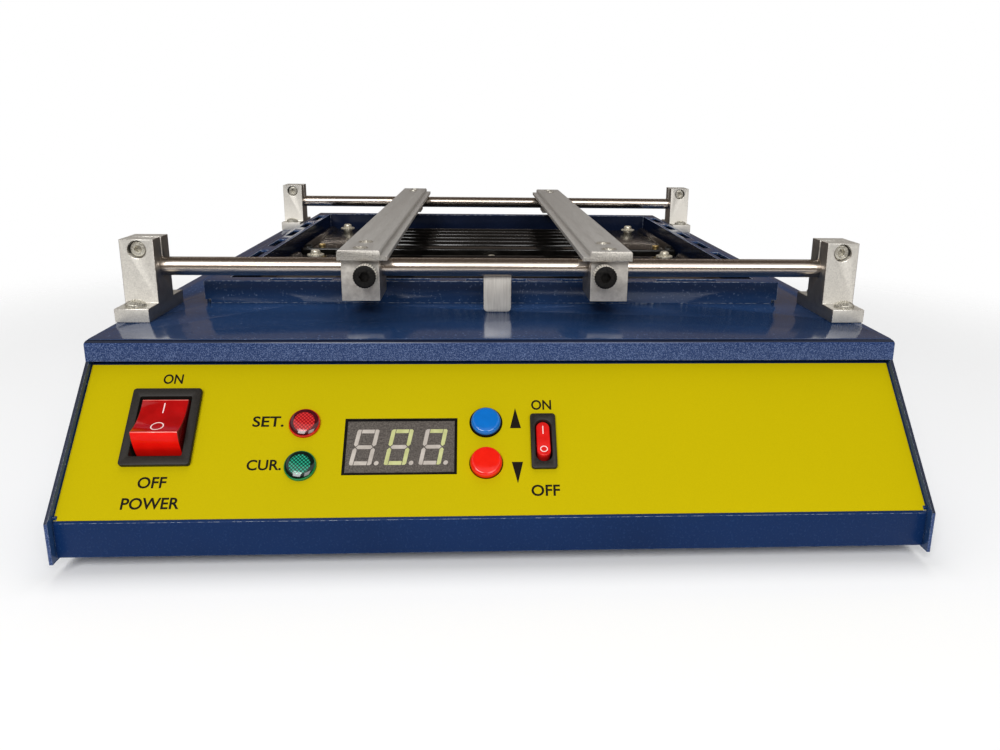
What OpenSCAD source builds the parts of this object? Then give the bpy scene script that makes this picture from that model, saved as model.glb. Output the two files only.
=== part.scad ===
// Infrared preheating plate for circuit boards: a sloped-front sheet case, a heater
// well in its deck, and two sliding beams that hold a board above the well.
// Millimetres, +Z up, -Y is the operator's side. The origin lies on the table under
// the middle of the case.

/* [Case] */
// Width across the two side panels
case_w = 317; // [310:1:340]
// Depth from the front foot edge to the rear edge
case_d = 439.2; // [437:0.2:460]
// Height of the deck (the cover's top face) above the table
deck_z = 74.7; // [72:0.1:84]
// Thickness of the folded sheet
sheet_t = 1.2; // [1:0.1:1.5]
// Outer radius of the cover's bends
bend_r = 2; // [1.8:0.1:2.4]
// Height of the side panels' lower edge above the table
skirt_z = 5; // [4:0.5:8]
// Height of the strip folded down along the deck's front and rear edge
lip_h = 8.5; // [7:0.5:9]
// Run and drop of the sloped front, which lies at 45 degrees
slope_run = 45.6; // [44:0.2:47]
// How far the front and rear panel sit inside the side panels' edges
panel_setback = 3; // [2.8:0.1:4]
// Lower edge of the front panel above the side panels' lower edge
panel_lift = 1.3; // [1:0.1:4]
// Height of the base's side flanges, which take the cover screws
flange_h = 14; // [12:1:20]
// Diameter of the rubber feet
foot_d = 20; // [16:1:26]
// Distance of the feet from the case edges
foot_inset = 34; // [30:1:34]

/* [Heater well] */
// Front edge of the deck to the outer front wall of the well frame
well_front = 69.4; // [68.6:0.2:72]
// Space beside the well frame, where the shaft supports stand
side_margin = 24.7; // [23:0.1:30]
// Rear edge of the well frame behind the rear rod
well_over = 9; // [6:0.5:10]
// Height of the well frame above the deck
rim_h = 10.2; // [9:0.2:11]
// Width of the frame's top flange
rim_w = 9.4; // [8.4:0.2:10.4]
// Length of the flange slots
rim_slot_l = 28.5; // [20:0.5:34]
// Width of the flange slots
rim_slot_w = 4.4; // [3:0.2:5]
// Spacing of the flange slots
rim_slot_pitch = 45.4; // [38:0.2:46]
// Plain length kept at each end of a row of flange slots
rim_corner = 10; // [8:1:16]
// Emitter's raised ends below the flange top
emitter_drop = 6; // [5:0.5:9]
// Gap between an emitter and the well's front or rear wall
end_gap = 22.6; // [18:0.2:26]
// Gap between the two emitters
emitter_gap = 28; // [20:0.5:32]
// Height of an emitter's raised ends above its face
emitter_dish = 2.4; // [2:0.1:3]
// Width of an emitter's raised ends
emitter_rim = 8; // [6:0.5:9]
// Ribs along the middle of each emitter
emitter_ribs = 5; // [3:1:5]
// Plain length of an emitter beyond each end of its ribs
rib_end = 38.5; // [20:0.5:60]
// Clamp screws' distance from the well's side walls
clamp_edge = 18.4; // [17:0.2:24]

/* [Rods and beams] */
// Diameter of the two guide rods
rod_d = 8; // [6:1:9]
// Front rod ahead of the well frame
rod_gap = 19.7; // [18:0.1:24]
// Rear rod to the case's rear edge
rear_margin = 33.2; // [30:0.2:40]
// Height of the rod axes above the deck
rod_h = 20.3; // [19.8:0.1:22]
// Where the left beam stands
left_x = -58.5; // [-80:0.5:-30]
// Where the right beam stands
right_x = 48; // [30:0.5:80]
// Width of the beam's upper face
beam_w = 18; // [16:0.5:22]
// Thickness of the beam
beam_t = 4.2; // [4:0.1:6]
// Width of the ledge that carries the board
ledge_w = 3; // [2:0.25:5]
// Thickness of the ledge
ledge_t = 1.8; // [1.5:0.1:2.5]
// Chamfer along the beam's upper edges
beam_edge = 0.6; // [0.3:0.1:1]
// Length of the beam beyond each rod
beam_over = 15.5; // [14:0.5:17]
// Width of the front sliding block
block_w = 16.2; // [15:0.1:17.8]
// Rod axis up to the underside of the beam
rod_to_beam = 5.1; // [5:0.1:6]
// Rod axis down to the underside of the front block
block_drop = 13; // [8:0.5:14]
// Diameter of the clamping thumb screw's head
knob_d = 9.8; // [8:0.1:10]
// Length of the thumb screw's head
knob_l = 7; // [5:0.5:9]
// Grooves of the thumb screw's knurl
knurls = 26; // [16:1:32]

/* [Controls] */
// Power switch bezel: width
power_w = 25.3; // [24:0.1:26]
// Power switch bezel: length
power_l = 31.2; // [30.5:0.1:33]
// Power switch: place from the case's left side
power_x = 32.6; // [28:0.1:44]
// Power switch: place down the slope
power_s = 26.7; // [25:0.1:30]
// Swing of the power rocker to either side
power_tilt = 14; // [8:0.5:14]
// Lamps: place from the case's left side
lamp_x = 84.8; // [80:0.1:90]
// Upper lamp and upper button: place down the slope
upper_s = 25.4; // [24:0.1:26]
// Lower lamp and lower button: place down the slope
lower_s = 42; // [41:0.1:44]
// Outer diameter of the lamps
lamp_d = 11.7; // [10.8:0.1:12]
// Display window: width
window_w = 41.8; // [41:0.1:44]
// Display window: height
window_l = 22.4; // [22:0.1:24]
// Display: place from the case's left side
window_x = 120.9; // [119:0.1:122]
// Display: place down the slope
window_s = 34.9; // [34:0.1:36]
// Buttons: place from the case's left side
button_x = 152.8; // [152:0.1:154]
// Diameter of the button caps
button_d = 11.9; // [11:0.1:12]
// Button cap above the panel
button_rise = 3; // [2:0.1:4]
// Heating switch bezel: width
heat_w = 9.6; // [9:0.1:11]
// Heating switch bezel: length
heat_l = 22.4; // [22:0.1:24]
// Heating switch: place from the case's left side
heat_x = 174.4; // [174:0.1:190]
// Heating switch: place down the slope
heat_s = 33.5; // [32:0.1:35]
// Swing of the heating rocker to either side
heat_tilt = 9; // [6:0.5:10]

/* [Rear and inside] */
// Mains inlet: place from the case's right side
inlet_edge = 62.5; // [50:0.5:80]
// Mains inlet: height of its middle above the table
inlet_z = 36; // [30:1:42]
// Rear vents: number of slots
vent_count = 11; // [6:1:12]
// Rear vents: spacing
vent_pitch = 10; // [8:0.5:11]
// Rear vents: slot height
vent_h = 28; // [16:1:34]
// Rear vents: slot width
vent_w = 4; // [3:0.5:5]
// Thickness of the insulating board under the heater
insulation_t = 10; // [6:1:12]

/* [Fits] */
// Gap between sheets that face each other
sheet_fit = 0.3; // [0.2:0.05:0.5]
// Radial running clearance of the sliding blocks and rocker pins
run_fit = 0.08; // [0.05:0.01:0.1]
// Radial gap around round pieces that move in panel holes
move_fit = 0.35; // [0.3:0.05:0.5]

/* [Hidden] */
$fn = 40;
diag = sqrt(0.5);
y_front = -case_d / 2;
y_rear = case_d / 2;
y_deck = y_front + slope_run;
half_w = case_w / 2;
deck_d = y_rear - y_deck;
y_deck_mid = (y_rear + y_deck) / 2;
in_w = case_w - 2 * sheet_t;
z_lip = deck_z - lip_h;
z_base = skirt_z + panel_lift;
z_floor = z_base + sheet_t;
// Sloped panel: its upper reference point is the lip's lower edge, moved inwards
panel_y = y_deck + panel_setback * diag;
panel_z = z_lip - panel_setback * diag;
panel_up = 5;
y_strip = y_front + panel_setback;
s_fold = (panel_y - y_strip) / diag;
z_fold = panel_z - s_fold * diag;
base_w = in_w - 2 * sheet_fit;
y_back = y_rear - panel_setback;
z_back = deck_z - sheet_t - 3;
label_t = 0.3;
cover_hole = 3.6;
cover_head = 5.9;
label_w = base_w - 0.4;
label_s = s_fold - 1;
// Well
rod_front = well_front - rod_gap;
rod_pitch = case_d - slope_run - rod_front - rear_margin;
well_w = case_w - 2 * side_margin;
well_d = rod_front + rod_pitch + well_over - well_front;
side_slots = floor((well_d - 2 * rim_corner - rim_slot_l) / rim_slot_pitch) + 1;
end_slots = floor((well_w - 2 * rim_corner - rim_slot_l) / rim_slot_pitch) + 1;
y_well = y_deck + well_front;
y_mid = y_well + well_d / 2;
z_rim = deck_z + rim_h;
well_in_w = well_w - 2 * rim_w;
well_in_d = well_d - 2 * rim_w;
emitter_d = (well_in_d - emitter_gap) / 2 - end_gap;
emitter_z = z_rim - emitter_drop;
dish_z = emitter_z - emitter_dish;
emitter_bot = dish_z - 8;
pan_z = emitter_bot - 5;
pan_wall = 6;
pan_w = well_in_w - 2 * sheet_fit;
pan_d = well_in_d - 2 * sheet_fit;
emitter_l = pan_w - 2 * sheet_t - 0.8;
dish_l = emitter_l - 2 * emitter_rim;
bead_r = emitter_rim / 2 - 0.2;
terminal_x = dish_l / 2 - 4;
terminal_y = emitter_d / 2 - 8;
rib_half = emitter_l / 2 - rib_end;
rib_pitch = (emitter_d - 2 * emitter_rim) / emitter_ribs;
rib_r = 3;
insulation_z = pan_z - sheet_t - insulation_t;
post_d = 10;
clamp_d = 4;
washer_d = 10;
washer_t = 1;
clamp_head = 7.4;
clamp_thread = 10;
clamp_head_h = 2.6;
collar_d = 6.4;
collar_h = 1.2;
spacer_h = 7.4;
clamp_x = well_in_w / 2 - clamp_edge;
clamp_y = emitter_d / 2 - 12;
emitter_pitch = emitter_d + emitter_gap;
probe_x = 24;
probe_d = 3;
probe_l = 60;
probe_clip = 5;
tab_w = 12;
tab_drop = 3.5;
tab_x = well_w * 0.3;
tab_y = well_d * 0.3;
// Rods, supports and beams
z_rod = deck_z + rod_h;
y_rod1 = y_deck + rod_front;
y_rod2 = y_rod1 + rod_pitch;
support_t = 14;
support_inset = 0.5;
support_x = half_w - support_inset - support_t / 2;
support_base_l = 42;
support_base_h = 5.8;
support_w = 18;
support_h = rod_h + 12.5;
support_hole = 32;
support_screw = 5;
support_head = 8.4;
support_head_h = 3;
pinch_d = 4;
pinch_head = 6.2;
pinch_head_l = 5.2;
pinch_sunk = 1.6;
pinch_room = 1.4;
pinch_z = deck_z + (rod_h + rod_d / 2 + support_h) / 2;
rod_l = 2 * (half_w - support_inset) - 3;
z_beam = z_rod + rod_to_beam;
block_front = 11;
block_back = 15.5;
saddle_w = 12;
saddle_drop = 6.5;
beam_screw_d = 3;
beam_screw_front = -7.5;
beam_screw_back = 11;
thumb_d = 4;
thumb_hole = thumb_d + 0.7;
thumb_in = 2.9;
thumb_low = 1;
beam_screw_l = rod_to_beam + thumb_low - thumb_hole / 2 - 0.4;
thumb_gap = 2.7;
knob_edge = 0.6;
knurl_d = knob_d * 0.09;
prop_w = 12.3;
prop_t = 5;
prop_y = y_rod1 + 0.6;
prop_top = z_rod - 2.6;
prop_round = 2;
// Control board behind the panel
board_front = -10.3;
board_t = 1.6;
board_x0 = lamp_x - 18.3;
board_x1 = button_x + 11.2;
board_s0 = upper_s - 11.4;
board_s1 = lower_s + 12;
board_post_d = 5;
board_edge = 3.5;
stem_d = 3;
key_w = 6;
key_h = 4;
press = 0.9;
// Mains inlet
inlet_w = 49;
inlet_h = 23;
inlet_t = 2.5;
inlet_body_w = 28;
inlet_body_h = 20;
inlet_deep = 22;
socket_w = 24.4;
socket_h = 16.4;
socket_deep = 16;
inlet_pitch = 40;
inlet_r = 5;
inlet_x = half_w - inlet_edge;
inlet_sink = 1.4;
// Inner pieces on the base floor, placed from the rear panel and the left side
room_h = insulation_z - z_floor;
core_w = 46;
core_d = 20;
core_h = room_h - 5.1;
coil_w = 30;
coil_d = 36;
coil_gap = 3;
strap_w = 64;
strap_d = 16;
strap_t = 1.5;
transformer_edge = 62.5;
transformer_back = 120.6;
sink_w = 64;
sink_d = 52;
sink_t = 5;
fin_h = 14;
fin_t = 3;
fins = 7;
sink_x = 20;
module_w = 44;
module_d = 48;
module_h = room_h - fin_h - sink_t - 6.1;
terminal_block_w = 46;
terminal_block_d = 18;
terminal_block_h = 17;
terminal_block_x = -20;
terminal_block_back = 40.6;
terminal_ways = 4;
terminal_pitch = 10.6;
terminal_hole = 5;
sink_gap = 1;
sink_back = terminal_block_back + terminal_block_d / 2 + sink_gap + sink_d / 2;

// Puts children on the sloped panel: x from its left side, s down the slope, +Z outwards
module on_slope(x, s) {
    translate([x - half_w, panel_y - s * diag, panel_z - s * diag])
        rotate([45, 0, 0])
            children();
}

// A box that is centred in x and y and runs from z0 to z1
module slab(w, l, z0, z1) {
    translate([-w / 2, -l / 2, z0])
        cube([w, l, z1 - z0]);
}

// A cylinder from z0 to z1
module rod_z(d, z0, z1) {
    translate([0, 0, z0])
        cylinder(d = d, h = z1 - z0);
}

// Flat plate with round corners
module round_plate(w, l, r, t) {
    linear_extrude(t) {
        square([w - 2 * r, l], center = true);
        square([w, l - 2 * r], center = true);
        for (x = [-1, 1])
            for (y = [-1, 1])
                translate([x * (w / 2 - r), y * (l / 2 - r)])
                    circle(r = r);
    }
}

// Extrudes an outline drawn in y and z across the given width
module along_x(w) {
    translate([-w / 2, 0, 0])
        rotate([90, 0, 90])
            linear_extrude(w)
                children();
}

// Half section of a flat disc with a rounded upper edge, to be turned about its axis
module cap_outline(d, h, r) {
    square([d / 2, h - r]);
    square([d / 2 - r, h]);
    intersection() {
        translate([d / 2 - r, h - r])
            circle(r = r);
        square([d / 2, h]);
    }
}

// Half section of a dome on a short cylinder, to be turned about its axis
module dome_outline(d, h, rise) {
    r = (d * d / 4 + rise * rise) / (2 * rise);
    intersection() {
        translate([0, h - r])
            circle(r = r, $fn = 90);
        square([d / 2, h + 1]);
    }
}

// Domed screw head with a cross recess
module pan_head(d, h) {
    drive = d * 0.55;
    slot = d * 0.13;
    difference() {
        rotate_extrude()
            dome_outline(d, h, h * 0.6);
        slab(drive, slot, h * 0.6, h + 1);
        slab(slot, drive, h * 0.6, h + 1);
    }
}

// Children at every place of the cover screws: three on each side
module at_cover_screws() {
    for (side = [-1, 1])
        for (k = [-1, 0, 1])
            translate([side * half_w, k * case_d * 0.36, z_floor + flange_h / 2])
                rotate([0, side * 90, 0])
                    children();
}

// Children at the four feet
module at_feet() {
    for (x = [-1, 1])
        for (y = [-1, 1])
            translate([x * (half_w - foot_inset), y * (case_d / 2 - foot_inset), 0])
                children();
}

// Children at one emitter's two clamp screws, from the emitter's middle
module at_emitter_clamps() {
    for (x = [-1, 1])
        translate([x * clamp_x, clamp_y, 0])
            children();
}

// Children at the screws that hold the pan alone: one in the middle, two near the front wall
module at_pan_screws() {
    translate([0, y_mid, 0])
        children();
    for (x = [-1, 1])
        translate([x * clamp_x, y_mid - (well_in_d - end_gap) / 2, 0])
            children();
}

// Children at the middles of the two emitters
module at_emitters() {
    for (k = [-1, 1])
        translate([0, y_mid + k * emitter_pitch / 2, 0])
            children();
}

// Children at all the screws that go down into the posts
module at_clamps() {
    at_pan_screws()
        children();
    at_emitters()
        at_emitter_clamps()
            children();
}

// Children at the four shaft supports
module at_supports() {
    for (x = [-1, 1])
        for (y = [y_rod1, y_rod2])
            translate([x * support_x, y, deck_z])
                children();
}

// Children at the well frame's eight tongues, turned along the wall they belong to
module at_tongues() {
    for (k = [-1, 1])
        for (m = [-1, 1]) {
            translate([k * tab_x, y_mid + m * (well_d - sheet_t) / 2, deck_z])
                children();
            translate([k * (well_w - sheet_t) / 2, y_mid + m * tab_y, deck_z])
                rotate([0, 0, 90])
                    children();
        }
}

// Outline of a sheet bent down along two edges, seen along the bends
module bent_outline(w, low, high, r) {
    translate([-w / 2, low])
        square([w, high - r - low]);
    translate([r - w / 2, high - r - 1])
        square([w - 2 * r, r + 1]);
    for (side = [-1, 1])
        translate([side * (w / 2 - r), high - r])
            circle(r = r);
}

// The same sheet as a section of its own thickness
module bent_sheet(w, low, high) {
    difference() {
        bent_outline(w, low, high, bend_r);
        bent_outline(w - 2 * sheet_t, low - 1, high - sheet_t, bend_r - sheet_t);
    }
}

// Outline of the cover's side panels
module cover_side() {
    polygon([[y_deck, z_lip], [y_front, z_lip - slope_run], [y_front, skirt_z],
        [y_rear, skirt_z], [y_rear, z_lip]]);
    translate([y_deck_mid, 0])
        bent_outline(deck_d, z_lip - 1, deck_z, bend_r);
}

// Folded cover: deck, both side panels, and a lip along the front and rear edge
module top_cover() {
    color("#22406f")
        difference() {
            union() {
                intersection() {
                    translate([0, y_rear, 0])
                        rotate([90, 0, 0])
                            linear_extrude(case_d)
                                bent_sheet(case_w, skirt_z, deck_z);
                    along_x(case_w)
                        cover_side();
                }
                along_x(in_w)
                    translate([y_deck_mid, 0])
                        bent_sheet(deck_d, z_lip, deck_z);
            }
            translate([0, y_mid, 0])
                slab(well_in_w + 2 * sheet_t + 1, well_in_d + 2 * sheet_t + 1,
                    deck_z - 2 * sheet_t, deck_z + 1);
            at_tongues()
                slab(tab_w + 2 * sheet_fit, sheet_t + 2 * sheet_fit, -2 * sheet_t, 1);
            at_supports()
                for (y = [-1, 1])
                    translate([0, y * support_hole / 2, 0])
                        rod_z(support_screw - 0.8, -2 * sheet_t, 1);
            translate([0, prop_y + prop_t / 2, deck_z])
                rod_z(3, -2 * sheet_t, 1);
            at_cover_screws() {
                rod_z(cover_hole, -2 * sheet_t, 1);
                translate([0, 0, -sheet_t])
                    cylinder(d1 = cover_hole, d2 = cover_head + 0.5, h = sheet_t);
            }
        }
}

// Folded base: sloped front panel, front strip, floor, rear panel and side flanges
module base_chassis() {
    k = panel_y - panel_z + 2 * sheet_t * diag;
    y_in = y_strip + sheet_t;
    top = [panel_y + panel_up * diag, panel_z + panel_up * diag];
    profile = [top, [y_strip, z_fold], [y_strip, z_base], [y_back, z_base], [y_back, z_back],
        [y_back - sheet_t, z_back], [y_back - sheet_t, z_floor], [y_in, z_floor],
        [y_in, y_in - k], [top[0] + sheet_t * diag, top[1] - sheet_t * diag]];
    color("#274a80")
        difference() {
            union() {
                along_x(base_w)
                    polygon(profile);
                for (x = [-base_w / 2, base_w / 2 - sheet_t])
                    translate([x, y_in - sheet_t / 2, z_base])
                        cube([sheet_t, y_back - y_in, sheet_t + flange_h]);
            }
            panel_openings(2 * sheet_t);
            translate([inlet_x, y_back - 2 * sheet_t, inlet_z]) {
                translate([-inlet_body_w / 2 - sheet_fit, 0, -inlet_body_h / 2 - sheet_fit])
                    cube([inlet_body_w + 2 * sheet_fit, 3 * sheet_t,
                        inlet_body_h + 2 * sheet_fit]);
                for (x = [-1, 1])
                    translate([x * inlet_pitch / 2, 0, 0])
                        rotate([-90, 0, 0])
                            rod_z(3.2, 0, 3 * sheet_t);
            }
            for (i = [0 : vent_count - 1])
                translate([-(i + 2) * vent_pitch, y_back - 2 * sheet_t, inlet_z - vent_h / 2])
                    cube([vent_w, 3 * sheet_t, vent_h]);
            at_feet()
                rod_z(4.2, z_base - 1, z_floor + 1);
            at_cover_screws()
                rod_z(3, -6, 1);
        }
}

// Openings of the front panel, cut to the given depth, for the panel and its label
module panel_openings(deep) {
    on_slope(power_x, power_s)
        slab(power_w - 3, power_l - 3, -deep, 1);
    on_slope(window_x, window_s)
        slab(window_w + 0.4, window_l + 0.4, -deep, 1);
    on_slope(heat_x, heat_s)
        slab(heat_w - 1, heat_l - 1.6, -deep, 1);
    for (s = [upper_s, lower_s]) {
        on_slope(lamp_x, s)
            rod_z(lamp_d - 1.4, -deep, 1);
        on_slope(button_x, s)
            rod_z(button_d + 2 * move_fit, -deep, 1);
    }
}

// Printed label that covers the sloped panel
module panel_label() {
    color("#d2bf06")
        difference() {
            on_slope(half_w, label_s / 2)
                slab(label_w, label_s, 0, label_t);
            panel_openings(1);
        }
}

// Slotted frame round the heater well: outer wall, top flange, inner wall and tongues
module well_frame() {
    inner_l = z_rim - pan_z + sheet_t;
    color("#22406f")
        translate([0, y_mid, 0])
            difference() {
                union() {
                    difference() {
                        slab(well_w, well_d, deck_z, z_rim);
                        slab(well_w - 2 * sheet_t, well_d - 2 * sheet_t, deck_z - 1, z_rim - sheet_t);
                        slab(well_in_w, well_in_d, deck_z - 1, z_rim + 1);
                    }
                    difference() {
                        slab(well_in_w + 2 * sheet_t, well_in_d + 2 * sheet_t,
                            z_rim - inner_l, z_rim);
                        slab(well_in_w, well_in_d, z_rim - inner_l - 1, z_rim + 1);
                    }
                    translate([0, -y_mid, 0])
                        at_tongues()
                            slab(tab_w, sheet_t, -tab_drop, 1);
                }
                for (k = [-1, 1]) {
                    for (i = [0 : side_slots - 1])
                        translate([k * (well_w - rim_w) / 2,
                            (i - (side_slots - 1) / 2) * rim_slot_pitch, 0])
                            slab(rim_slot_w, rim_slot_l, z_rim - 2 * sheet_t, z_rim + 1);
                    for (i = [0 : end_slots - 1])
                        translate([(i - (end_slots - 1) / 2) * rim_slot_pitch,
                            k * (well_d - rim_w) / 2, 0])
                            slab(rim_slot_l, rim_slot_w, z_rim - 2 * sheet_t, z_rim + 1);
                    for (m = [-1, 1])
                        translate([k * well_w / 2, m * well_d / 2, 0])
                            slab(5, 5, deck_z - 1, deck_z + 1.6);
                }
            }
}

// Black sheet pan that carries the emitters
module heater_pan() {
    color("#1b1b1c")
        difference() {
            translate([0, y_mid, 0])
                difference() {
                    slab(pan_w, pan_d, pan_z - sheet_t, pan_z + pan_wall);
                    slab(pan_w - 2 * sheet_t, pan_d - 2 * sheet_t, pan_z, pan_z + pan_wall + 1);
                }
            at_clamps()
                rod_z(clamp_d + 0.4, pan_z - 2 * sheet_t, pan_z + 1);
        }
}

// Mineral fibre board under the pan
module insulation_board() {
    color("#d8d2c4")
        difference() {
            translate([0, y_mid, 0])
                slab(pan_w, pan_d, insulation_z, insulation_z + insulation_t);
            at_clamps()
                rod_z(clamp_d + 0.4, insulation_z - 1, insulation_z + insulation_t + 1);
        }
}

// One ceramic infrared emitter: flat plate, raised ends, lengthwise ribs, two rails below
module emitter() {
    bead_x = (emitter_l - emitter_rim) / 2;
    color("#161617")
        difference() {
            union() {
                slab(emitter_l, emitter_d, emitter_bot, dish_z);
                for (k = [-1, 1])
                    translate([k * bead_x, 1 - emitter_d / 2, emitter_z - bead_r])
                        rotate([-90, 0, 0])
                            cylinder(r = bead_r, h = emitter_d - 2);
                for (i = [0 : emitter_ribs - 1])
                    translate([-rib_half, (i - (emitter_ribs - 1) / 2) * rib_pitch, emitter_z - rib_r])
                        rotate([0, 90, 0])
                            cylinder(r = rib_r, h = 2 * rib_half);
                for (y = [-1, 1])
                    translate([0, y * emitter_d / 4, 0])
                        slab(emitter_l * 0.9, 10, pan_z, emitter_bot + 1);
            }
            for (x = [-1, 1])
                translate([x * terminal_x, -terminal_y, 0])
                    rod_z(3.2, dish_z - 6, dish_z + 1);
            at_emitter_clamps()
                rod_z(clamp_d + 0.8, emitter_bot - 1, dish_z + 1);
        }
}

module emitter_front() {
    translate([0, y_mid - emitter_pitch / 2, 0])
        emitter();
}

module emitter_rear() {
    translate([0, y_mid + emitter_pitch / 2, 0])
        emitter();
}

// Small brass screws at the front corners of the emitters
module emitter_terminals() {
    color("#b98a45")
        at_emitters()
            for (x = [-1, 1])
                translate([x * terminal_x, -terminal_y, dish_z]) {
                    rod_z(3, -5.5, 0.5);
                    difference() {
                        rod_z(5.6, 0, 2);
                        slab(6, 0.9, 1.2, 3);
                    }
                }
}

// Posts that stand on the base floor and carry the insulation, pan and emitters
module clamp_posts() {
    color("#9b9ea2")
        at_clamps()
            difference() {
                rod_z(post_d, z_floor, insulation_z);
                rod_z(clamp_d + 0.1, insulation_z - clamp_thread - 2, insulation_z + 1);
            }
}

// Screw with a broad washer on a collar, which stands on the face at height z
module clamp_screw(z, high) {
    z_washer = z + high;
    rod_z(collar_d, z, z_washer);
    rod_z(washer_d, z_washer, z_washer + washer_t);
    translate([0, 0, z_washer + washer_t])
        pan_head(clamp_head, clamp_head_h);
    rod_z(clamp_d, insulation_z - clamp_thread, z_washer + washer_t + 1);
}

// Screws that hold the emitters and the pan down on the posts
module clamp_screws() {
    color("#cfd0d0") {
        at_emitters()
            at_emitter_clamps()
                clamp_screw(dish_z, collar_h);
        at_pan_screws()
            clamp_screw(pan_z, spacer_h);
    }
}

// Sheathed temperature probe in a clip, in the gap between the emitters
module thermocouple() {
    z_probe = pan_z + 4;
    color("#a7a9ac")
        translate([0, y_mid, 0]) {
            translate([probe_x, 0, z_probe])
                rotate([0, 90, 0])
                    cylinder(d = probe_d, h = probe_l);
            for (x = [0.2, 0.8])
                translate([probe_x + x * probe_l, 0, 0])
                    slab(probe_clip, probe_d + 1.4, pan_z, z_probe + probe_d / 2 + 0.5);
        }
}

// Guide rod along X
module guide_rod(y) {
    color("#c9c8c4")
        translate([-rod_l / 2, y, z_rod])
            rotate([0, 90, 0])
                cylinder(d = rod_d, h = rod_l, $fn = 64);
}

module front_rod() {
    guide_rod(y_rod1);
}

module rear_rod() {
    guide_rod(y_rod2);
}

// Shaft support: foot, upright, bore, pinch slit and counterbored pinch screw hole
module shaft_support(x, y) {
    slit = 1.2;
    color("#b9b8b4")
        translate([x, y, deck_z])
            difference() {
                union() {
                    slab(support_t, support_base_l, 0, support_base_h);
                    slab(support_t, support_w, 0, support_h);
                }
                translate([-support_t, 0, rod_h])
                    rotate([0, 90, 0])
                        cylinder(d = rod_d + 0.04, h = 2 * support_t, $fn = 64);
                slab(2 * support_t, slit, rod_h, support_h + 1);
                translate([0, 0, pinch_z - deck_z])
                    rotate([90, 0, 0]) {
                        rod_z(pinch_d + 0.2, -support_w / 2 + 3, support_w);
                        rod_z(pinch_head + pinch_room, support_w / 2 - pinch_head_l, support_w);
                    }
                for (k = [-1, 1])
                    translate([0, k * support_hole / 2, 0])
                        rod_z(support_screw + 0.5, -1, support_base_h + 1);
            }
}

module support_front_left() {
    shaft_support(-support_x, y_rod1);
}

module support_front_right() {
    shaft_support(support_x, y_rod1);
}

module support_rear_left() {
    shaft_support(-support_x, y_rod2);
}

module support_rear_right() {
    shaft_support(support_x, y_rod2);
}

// Socket head screws that close the pinch slits
module pinch_screws() {
    color("#9fa0a2")
        at_supports()
            translate([0, 0, pinch_z - deck_z])
                rotate([90, 0, 0])
                    difference() {
                        union() {
                            rod_z(pinch_d, -support_w / 2 + 4, support_w / 2 - pinch_head_l);
                            rod_z(pinch_head, support_w / 2 - pinch_head_l, support_w / 2 - pinch_sunk);
                        }
                        translate([0, 0, support_w / 2 - pinch_sunk - 2.4])
                            cylinder(d = 3.5, h = 4, $fn = 6);
                    }
}

// Screws through the feet of the shaft supports into the deck
module support_screws() {
    color("#b2b3b5")
        at_supports()
            for (k = [-1, 1])
                translate([0, k * support_hole / 2, 0]) {
                    rod_z(support_screw - 1, -6, support_base_h + 1);
                    translate([0, 0, support_base_h])
                        pan_head(support_head, support_head_h);
                }
}

// Prop that carries the middle of the front rod
module rod_prop() {
    color("#bdbbb6")
        difference() {
            translate([0, prop_y, 0])
                rotate([90, 0, 0])
                    translate([0, 0, -prop_t])
                        linear_extrude(prop_t)
                            union() {
                                translate([-prop_w / 2, deck_z + prop_round])
                                    square([prop_w, prop_top - deck_z - prop_round]);
                                translate([-prop_w / 2 + prop_round, deck_z])
                                    square([prop_w - 2 * prop_round, prop_round + 1]);
                                for (x = [-1, 1])
                                    translate([x * (prop_w / 2 - prop_round), deck_z + prop_round])
                                        circle(r = prop_round);
                            }
            translate([-prop_w, y_rod1, z_rod])
                rotate([0, 90, 0])
                    cylinder(d = rod_d + 0.04, h = 2 * prop_w, $fn = 64);
            translate([0, prop_y + prop_t / 2, 0])
                rod_z(2.6, deck_z - 1, deck_z + 9);
        }
}

// Screw that holds the prop from below the deck
module prop_screw() {
    color("#9fa0a2")
        translate([0, prop_y + prop_t / 2, deck_z]) {
            rod_z(2.5, -sheet_t, 8);
            rod_z(5.5, -sheet_t - 2, -sheet_t);
        }
}

// Board-holding beam on both rods; hand is 1 where the ledge faces +X, -1 where -X
module beam(x, hand) {
    l = rod_pitch + 2 * beam_over;
    half = beam_w / 2;
    section = [[-half, 0], [half + ledge_w, 0], [half + ledge_w, ledge_t], [half, ledge_t],
        [half, beam_t - beam_edge], [half - beam_edge, beam_t], [beam_edge - half, beam_t],
        [-half, beam_t - beam_edge]];
    color("#b3b1ac")
        translate([x, 0, 0])
            difference() {
                translate([0, y_rod1 - beam_over + l, z_beam])
                    rotate([90, 0, 0])
                        linear_extrude(l)
                            polygon([for (p = section) [hand * p[0], p[1]]]);
                at_beam_screws() {
                    rod_z(beam_screw_d + 0.3, z_beam - 1, z_beam + beam_t + 1);
                    rod_z(6.6, z_beam + beam_t - 1.8, z_beam + beam_t + 1);
                }
            }
}

// Children at the four screws of a beam
module at_beam_screws() {
    for (y = [y_rod1 + beam_screw_front, y_rod1 + beam_screw_back,
        y_rod2 - beam_screw_back, y_rod2 - beam_screw_front])
        translate([0, y, 0])
            children();
}

// Front sliding block with the rod bore and the thumb screw's hole
module front_block(x, hand) {
    color("#b9b7b2")
        difference() {
            translate([x - block_w / 2, y_rod1 - block_front, z_rod - block_drop])
                cube([block_w, block_front + block_back, block_drop + rod_to_beam]);
            block_bores(x, y_rod1);
            translate([x + hand * thumb_in, y_rod1, z_rod - thumb_low])
                rotate([90, 0, 0])
                    rod_z(thumb_hole, 0, block_front + 1);
        }
}

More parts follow.
